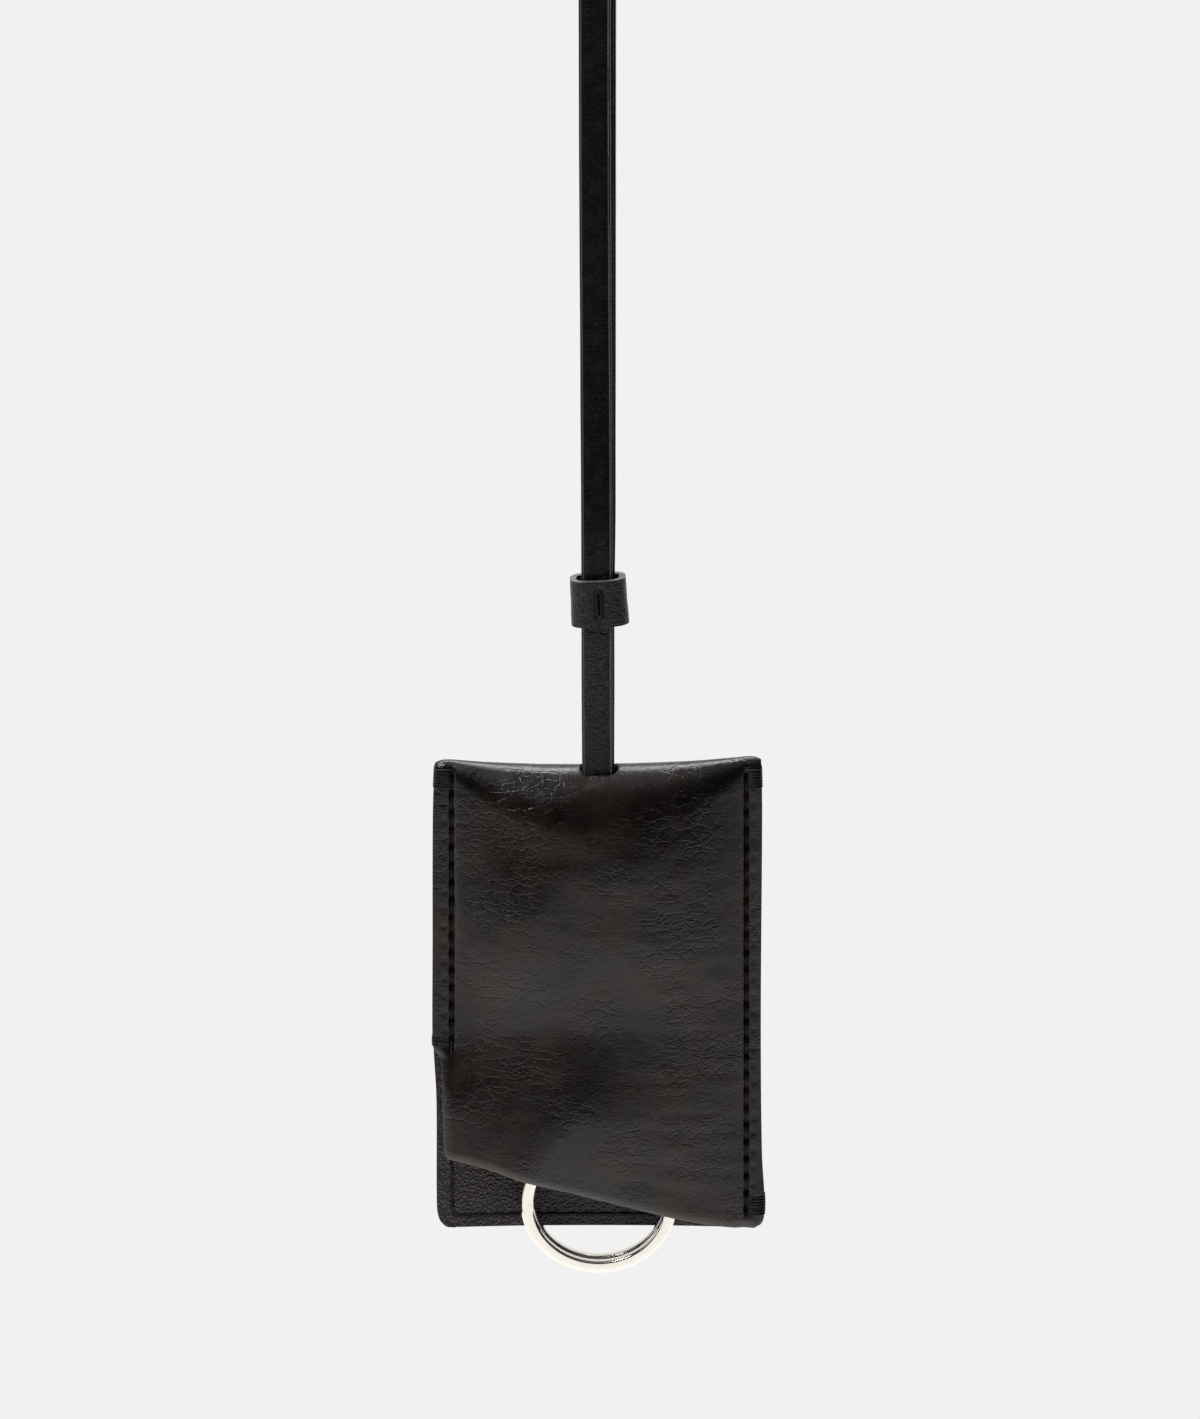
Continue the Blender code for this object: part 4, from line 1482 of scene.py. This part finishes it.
    def seams(self) -> list[Object]:
        """The stitched seams down both sides, along the hem, and their back side."""
        form = self.form
        low = form.back_bottom - form.hem_inset
        left = self.seam_holes(-1, form.left_seam_end, Side.FRONT)
        right = self.seam_holes(1, form.last_right_stitch, Side.FRONT)
        around = [self.seam_holes(x_side, low, Side.BACK) for x_side in (-1, 1)]
        count = int((form.seam(1, low) - form.seam(-1, low)) / form.stitch_pitch)
        around.append([self.surface(x, drop, Side.BACK) for x, drop in form.hem(count)])
        return [
            self.sewn("left_seam_stitches", Stitch.SADDLE.along([left], -1), "left_seam_thread"),
            self.sewn("right_seam_stitches", Stitch.SADDLE.along([right], -1), "right_seam_thread"),
            self.sewn("hem_stitches", Stitch.FINE.along(self.hem_lines(), -1), "hem_thread"),
            self.sewn("back_stitches", Stitch.SADDLE.along(around, 1), "back_thread"),
        ]

    def seam_holes(self, x_side: int, end: float, side: Side) -> list[Vector]:
        """Holes of a side seam on the outer face, from the first one down to a drop."""
        drops = self.form.stitch_drops(self.form.first_stitch, end)
        return [self.surface(self.form.seam(x_side, drop), drop, side) for drop in drops]

    def hem_lines(self) -> list[list[Vector]]:
        """Holes on the inner face of the back, below the left seam and along the bottom."""
        form = self.form
        inset = form.wall + self.lining + self.leather_gap
        low = form.back_bottom - form.hem_inset
        down = [(form.seam(-1, drop), drop) for drop in form.stitch_drops(low - 3 * form.stitch_pitch, low)]

        def hole(x: float, drop: float) -> Vector:
            return Vector((x, form.wall_y(Side.BACK, x, drop, inset) - self.leather_gap, form.z(drop)))

        return [[hole(x, drop) for x, drop in line] for line in (down, form.hem(self.hem_stitches))]

    def sewn(self, name: str, runs: list[list[Vector]], node: str) -> Object:
        """Makes a seam from its stitches, standing for its CAD node."""
        obj = thread_run(name, runs, self.seam_thread, 1)
        return dress(obj, "pouch", node, "thread", self.finishes.thread)

    def tacks(self) -> list[Object]:
        """Bar tacks: thread wrapped round the side edges where the seams start and end."""
        made = []
        for name, x_side, start, wraps in (
            ("bar_tack_top_left", -1, 2.6 * MM, 7),
            ("bar_tack_top_right", 1, 2.6 * MM, 7),
            ("bar_tack_seam_end", -1, 65.9 * MM, 3),
            ("bar_tack_bottom_right", 1, 103.8 * MM, 7),
        ):
            runs = [self.wrap(x_side, start + self.tack_pitch * k, k) for k in range(wraps)]
            obj = thread_run(name + "_thread", runs, self.tack_thread)
            made.append(dress(obj, "pouch", name, "thread", self.finishes.thread))
        return made

    def wrap(self, x_side: int, drop: float, index: int) -> list[Vector]:
        """One turn of thread round the edge, from the front face to the back."""
        form = self.form
        edge = form.right(Side.FRONT, drop) if x_side > 0 else -form.left(Side.FRONT, min(drop, 66 * MM))
        edge = edge / MM - 0.1
        seam = abs(form.seam(x_side, drop)) / MM + 0.15 * (index % 3)
        half = form.seam_half / MM - 0.05
        lift = 0.06 * (index % 2)
        front = [
            (seam, half - 0.75),
            (seam + 0.35, half - 0.15),
            (seam + 1.3, half + 0.12 + lift),
            (edge - 0.55, half + 0.02 + lift),
            (edge - 0.1, half - 0.35),
            (edge + 0.08, half - 1.0),
        ]
        outline = [(x, -y) for x, y in front] + front[::-1]
        return [Vector((x_side * x * MM, form.belly_offset + y * MM, form.z(drop))) for x, y in outline]


@dataclass
class Keeper:
    """The short leather loop that holds the strands together above the pouch."""

    finishes: Finishes
    height: float = 10.4 * MM
    wall: float = 1.4 * MM
    half: Place = (6.15 * MM, 4.3 * MM)
    squareness: float = 2.7
    flare: float = 0.035
    roll: float = math.radians(-3.2)
    channel: float = 0.38 * MM
    channel_half: float = 1.15 * MM
    stitch_half: float = 2.9 * MM
    hole_depth: float = 0.5 * MM
    hole_width: float = 0.75 * MM
    thread: float = 0.29 * MM
    thread_apart: float = 0.55 * MM
    around: int = 132
    tall: int = 30

    def outline(self, turn: float, z: float) -> Vector:
        """A point on the outer face at an angle round the loop and a height from its middle."""
        cosine, sine = math.cos(turn), math.sin(turn)
        power = 2 / self.squareness
        widen = 1 + self.flare * (0.5 - z / self.height)
        waist = 1 - 0.012 * bell(z, 2.5 * MM)
        x = self.half[0] * math.copysign(abs(cosine) ** power, cosine) * widen * waist
        y = self.half[1] * math.copysign(abs(sine) ** power, sine)
        return Vector((x, y, z))

    def dent(self, point: Vector) -> float:
        """Depth pressed into the front by the bar of stitches."""
        if point.y > 0:
            return 0.0
        ends = smooth_step(self.stitch_half + 0.9 * MM, self.stitch_half, abs(point.z))
        channel = self.channel * ends * bell(point.x, self.channel_half)
        below = abs(point.z) - self.stitch_half
        return channel + self.hole_depth * bell(point.x, self.hole_width) * bell(below, self.hole_width)

    def channel_shade(self, point: Vector) -> float:
        """Painted shade on the loop: how far its shine is taken down, 1 in the stitched channel."""
        upright = Matrix.Rotation(-self.roll, 3, "Y") @ point
        if upright.y > 0:
            return 0.0
        ends = smooth_step(self.stitch_half + 1.0 * MM, self.stitch_half, abs(upright.z))
        return ends * bell(upright.x, 1.05 * MM)

    def lean(self, point: Vector) -> Vector:
        """Tips a point with the loop, whose right side hangs a little higher."""
        return Matrix.Rotation(self.roll, 3, "Y") @ point

    def build(self) -> list[Object]:
        """Builds the loop and its stitches."""
        low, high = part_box("keeper_band")
        middle = (low.z + high.z) / 2

        def place(u: float, v: float) -> Vector:
            point = self.outline(2 * math.pi * u, (v - 0.5) * self.height)
            point.y += self.dent(point)
            point += Vector((point.x, point.y, 0)).normalized() * 0.06 * MM * ripple(point, 3 * MM)
            return self.lean(point) + Vector((0, 0, middle))

        obj = sheet("keeper_loop", self.around, self.tall, place)
        close_tube(obj, False)
        centre = obj.data.polygons[0].center
        turn_towards(obj, 0, Vector((centre.x, centre.y, 0)))
        thicken(obj, self.wall)
        rolled_edges(obj, 0.2 * MM)
        smooth(obj)
        # painted shade in the stitched channel
        store(obj, "seam_shade", lambda point: self.channel_shade(point - Vector((0, 0, middle))))
        dress(obj, "keeper", "keeper_band", "strap_leather", self.finishes.strap, self.finishes.keeper_edge)
        return [obj, self.stitch_bar(middle)]

    def stitch_bar(self, middle: float) -> Object:
        """Two close threads down the channel with a knot in the hole at each end."""
        front = -self.half[1] + self.channel
        runs = []
        for x in (-self.thread_apart, self.thread_apart):
            line = []
            for share in (k / 4 - 1 for k in range(9)):
                arch = 0.12 * MM * (1 - share**4) - 0.3 * MM * (abs(share) == 1)
                line.append(Vector((x * (1 - 0.25 * abs(share)), front - arch, share * self.stitch_half)))
            runs.append(line)
        for end in (-1, 1):
            for k in range(3):
                z = end * (self.stitch_half - 0.1 * MM + 0.36 * MM * k)
                places = (-0.5 * MM, -0.25 * MM, 0.0, 0.25 * MM, 0.5 * MM)
                runs.append([Vector((x, front + abs(x) * 0.35, z + x * 0.12)) for x in places])
        runs = [[self.lean(point) + Vector((0, 0, middle)) for point in run] for run in runs]
        obj = thread_run("keeper_stitching", runs, self.thread)
        return dress(obj, "keeper", "keeper_stitch", "thread", self.finishes.thread)


# ---- Studio


@dataclass
class Studio:
    """Pale floor, soft light all round and the camera."""

    target: Vector = field(default_factory=lambda: Vector((0.00022, 0.0, -0.205036)))
    distance: float = 1.3
    elevation: float = math.radians(17.0)
    lens: float = 149.8
    backdrop: float = 0.879
    floor_z: float = -0.8
    room_light: float = 1.7
    room_height: Profile = (
        *((-1.0, 1.5), (-0.8, 1.35), (-0.44, 1.1)),
        *((-0.17, 0.015), (0.5, 0.03), (0.9, 0.45)),
    )
    room_behind: Profile = ((0.0, 0.0), (0.35, 0.5), (1.0, 0.95))
    warm: Colour = (1.0, 0.955, 0.915)

    def build(self) -> None:
        """Sets up the camera, the floor and the light."""
        bpy.context.scene.view_settings.view_transform = "Standard"
        self.camera()
        self.floor()
        self.sky()
        self.lamp("overhead", Vector((-0.15, 0.3, 0.9)), (1.3, 0.5), 17.0)
        self.lamp("front", Vector((-0.8, -0.7, 1.0)), (0.55, 0.3), 13.0)
        self.lamp("left", Vector((-1.3, -0.15, 0.05)), (0.35, 1.1), 3.5)

    def camera(self) -> None:
        """Adds the camera, looking along +Y from a little above."""
        bpy.ops.object.select_all(action="DESELECT")
        back = Vector((0, -math.cos(self.elevation), math.sin(self.elevation)))
        bpy.ops.object.camera_add(location=self.target + back * self.distance)
        camera = named("camera")
        camera.rotation_euler = (-back).to_track_quat("-Z", "Y").to_euler()
        camera.data.lens = self.lens
        camera.data.sensor_width = 36.0
        camera.data.sensor_fit = "AUTO"
        bpy.context.scene.camera = camera

    def floor(self) -> None:
        """Adds a plain pale floor that only the camera sees."""
        bpy.ops.object.select_all(action="DESELECT")
        bpy.ops.mesh.primitive_plane_add(size=60.0, location=(0, 0, self.floor_z))
        floor = named("floor")
        pale = bpy.data.materials.new("pale_floor")
        pale.use_nodes = True
        nodes = Nodes(pale.node_tree)
        nodes.tree.nodes.remove(nodes.tree.nodes["Principled BSDF"])
        glow = nodes.add("ShaderNodeEmission", Color=(*(self.backdrop,) * 3, 1.0)).outputs[0]
        nodes.tree.links.new(glow, nodes.tree.nodes["Material Output"].inputs["Surface"])
        floor.data.materials.append(pale)
        floor.visible_diffuse = floor.visible_glossy = False
        floor.visible_transmission = floor.visible_shadow = False

    def sky(self) -> None:
        """Lights the room: pale below and behind, dark in front, bright above."""
        world = bpy.data.worlds.new("room")
        bpy.context.scene.world = world
        world.use_nodes = True
        nodes = Nodes(world.node_tree)
        direction = nodes.add("ShaderNodeTexCoord").outputs["Generated"]
        axes = nodes.add("ShaderNodeSeparateXYZ", _0=direction).outputs

        def band(axis: str, places: Profile) -> NodeSocket:
            raised = nodes.add("ShaderNodeMath", operation="MULTIPLY_ADD", _0=axes[axis], _1=0.5, _2=0.5)
            ramp = nodes.add("ShaderNodeValToRGB", _0=raised.outputs[0])
            ramp.color_ramp.interpolation = "EASE"
            stops = ramp.color_ramp.elements
            while len(stops) < len(places):
                stops.new(0.5)
            for stop, (where, value) in zip(stops, places):
                stop.position = (where + 1) / 2
                stop.color = (value / self.room_light,) * 3 + (1.0,)
            return ramp.outputs[0]

        height, behind = band("Z", self.room_height), band("Y", self.room_behind)
        both = nodes.add("ShaderNodeMath", operation="MAXIMUM", _0=height, _1=behind).outputs[0]
        scaled = nodes.add("ShaderNodeMath", operation="MULTIPLY", _0=both, _1=self.room_light).outputs[0]
        seen = nodes.add("ShaderNodeLightPath").outputs["Is Camera Ray"]
        pick = nodes.add("ShaderNodeMix", data_type="FLOAT", _0=seen, _2=scaled, _3=self.backdrop)
        white = (1.0, 1.0, 1.0, 1.0)
        tint = nodes.add("ShaderNodeMix", data_type="RGBA", _0=seen, _6=(*self.warm, 1.0), _7=white)
        background = nodes.tree.nodes["Background"]
        nodes.tree.links.new(tint.outputs[2], background.inputs["Color"])
        nodes.tree.links.new(pick.outputs[0], background.inputs["Strength"])

    def lamp(self, name: str, location: Vector, size: Place, power: float) -> None:
        """Adds one soft rectangular light aimed at the object."""
        bpy.ops.object.select_all(action="DESELECT")
        bpy.ops.object.light_add(type="AREA", location=location)
        light = named(name + "_softbox")
        light.data.shape = "RECTANGLE"
        light.data.size, light.data.size_y = size
        light.data.energy = power
        light.rotation_euler = (self.target - location).to_track_quat("-Z", "Y").to_euler()


def main() -> None:
    """Builds the object piece by piece."""
    logging.basicConfig(level=logging.INFO, format="%(name)s: %(message)s")
    form = PouchForm()
    finishes = Finishes()
    Studio().build()
    LOG.info("studio ready")
    pouch = Pouch(finishes, form, WallRows(form))
    for part in (NeckStrap(finishes, form), RingTab(finishes), SplitRing(finishes), pouch, Keeper(finishes)):
        for obj in part.build():
            LOG.info("%s: %d faces", obj.name, len(obj.data.polygons))


if __name__ == "__main__":
    main()
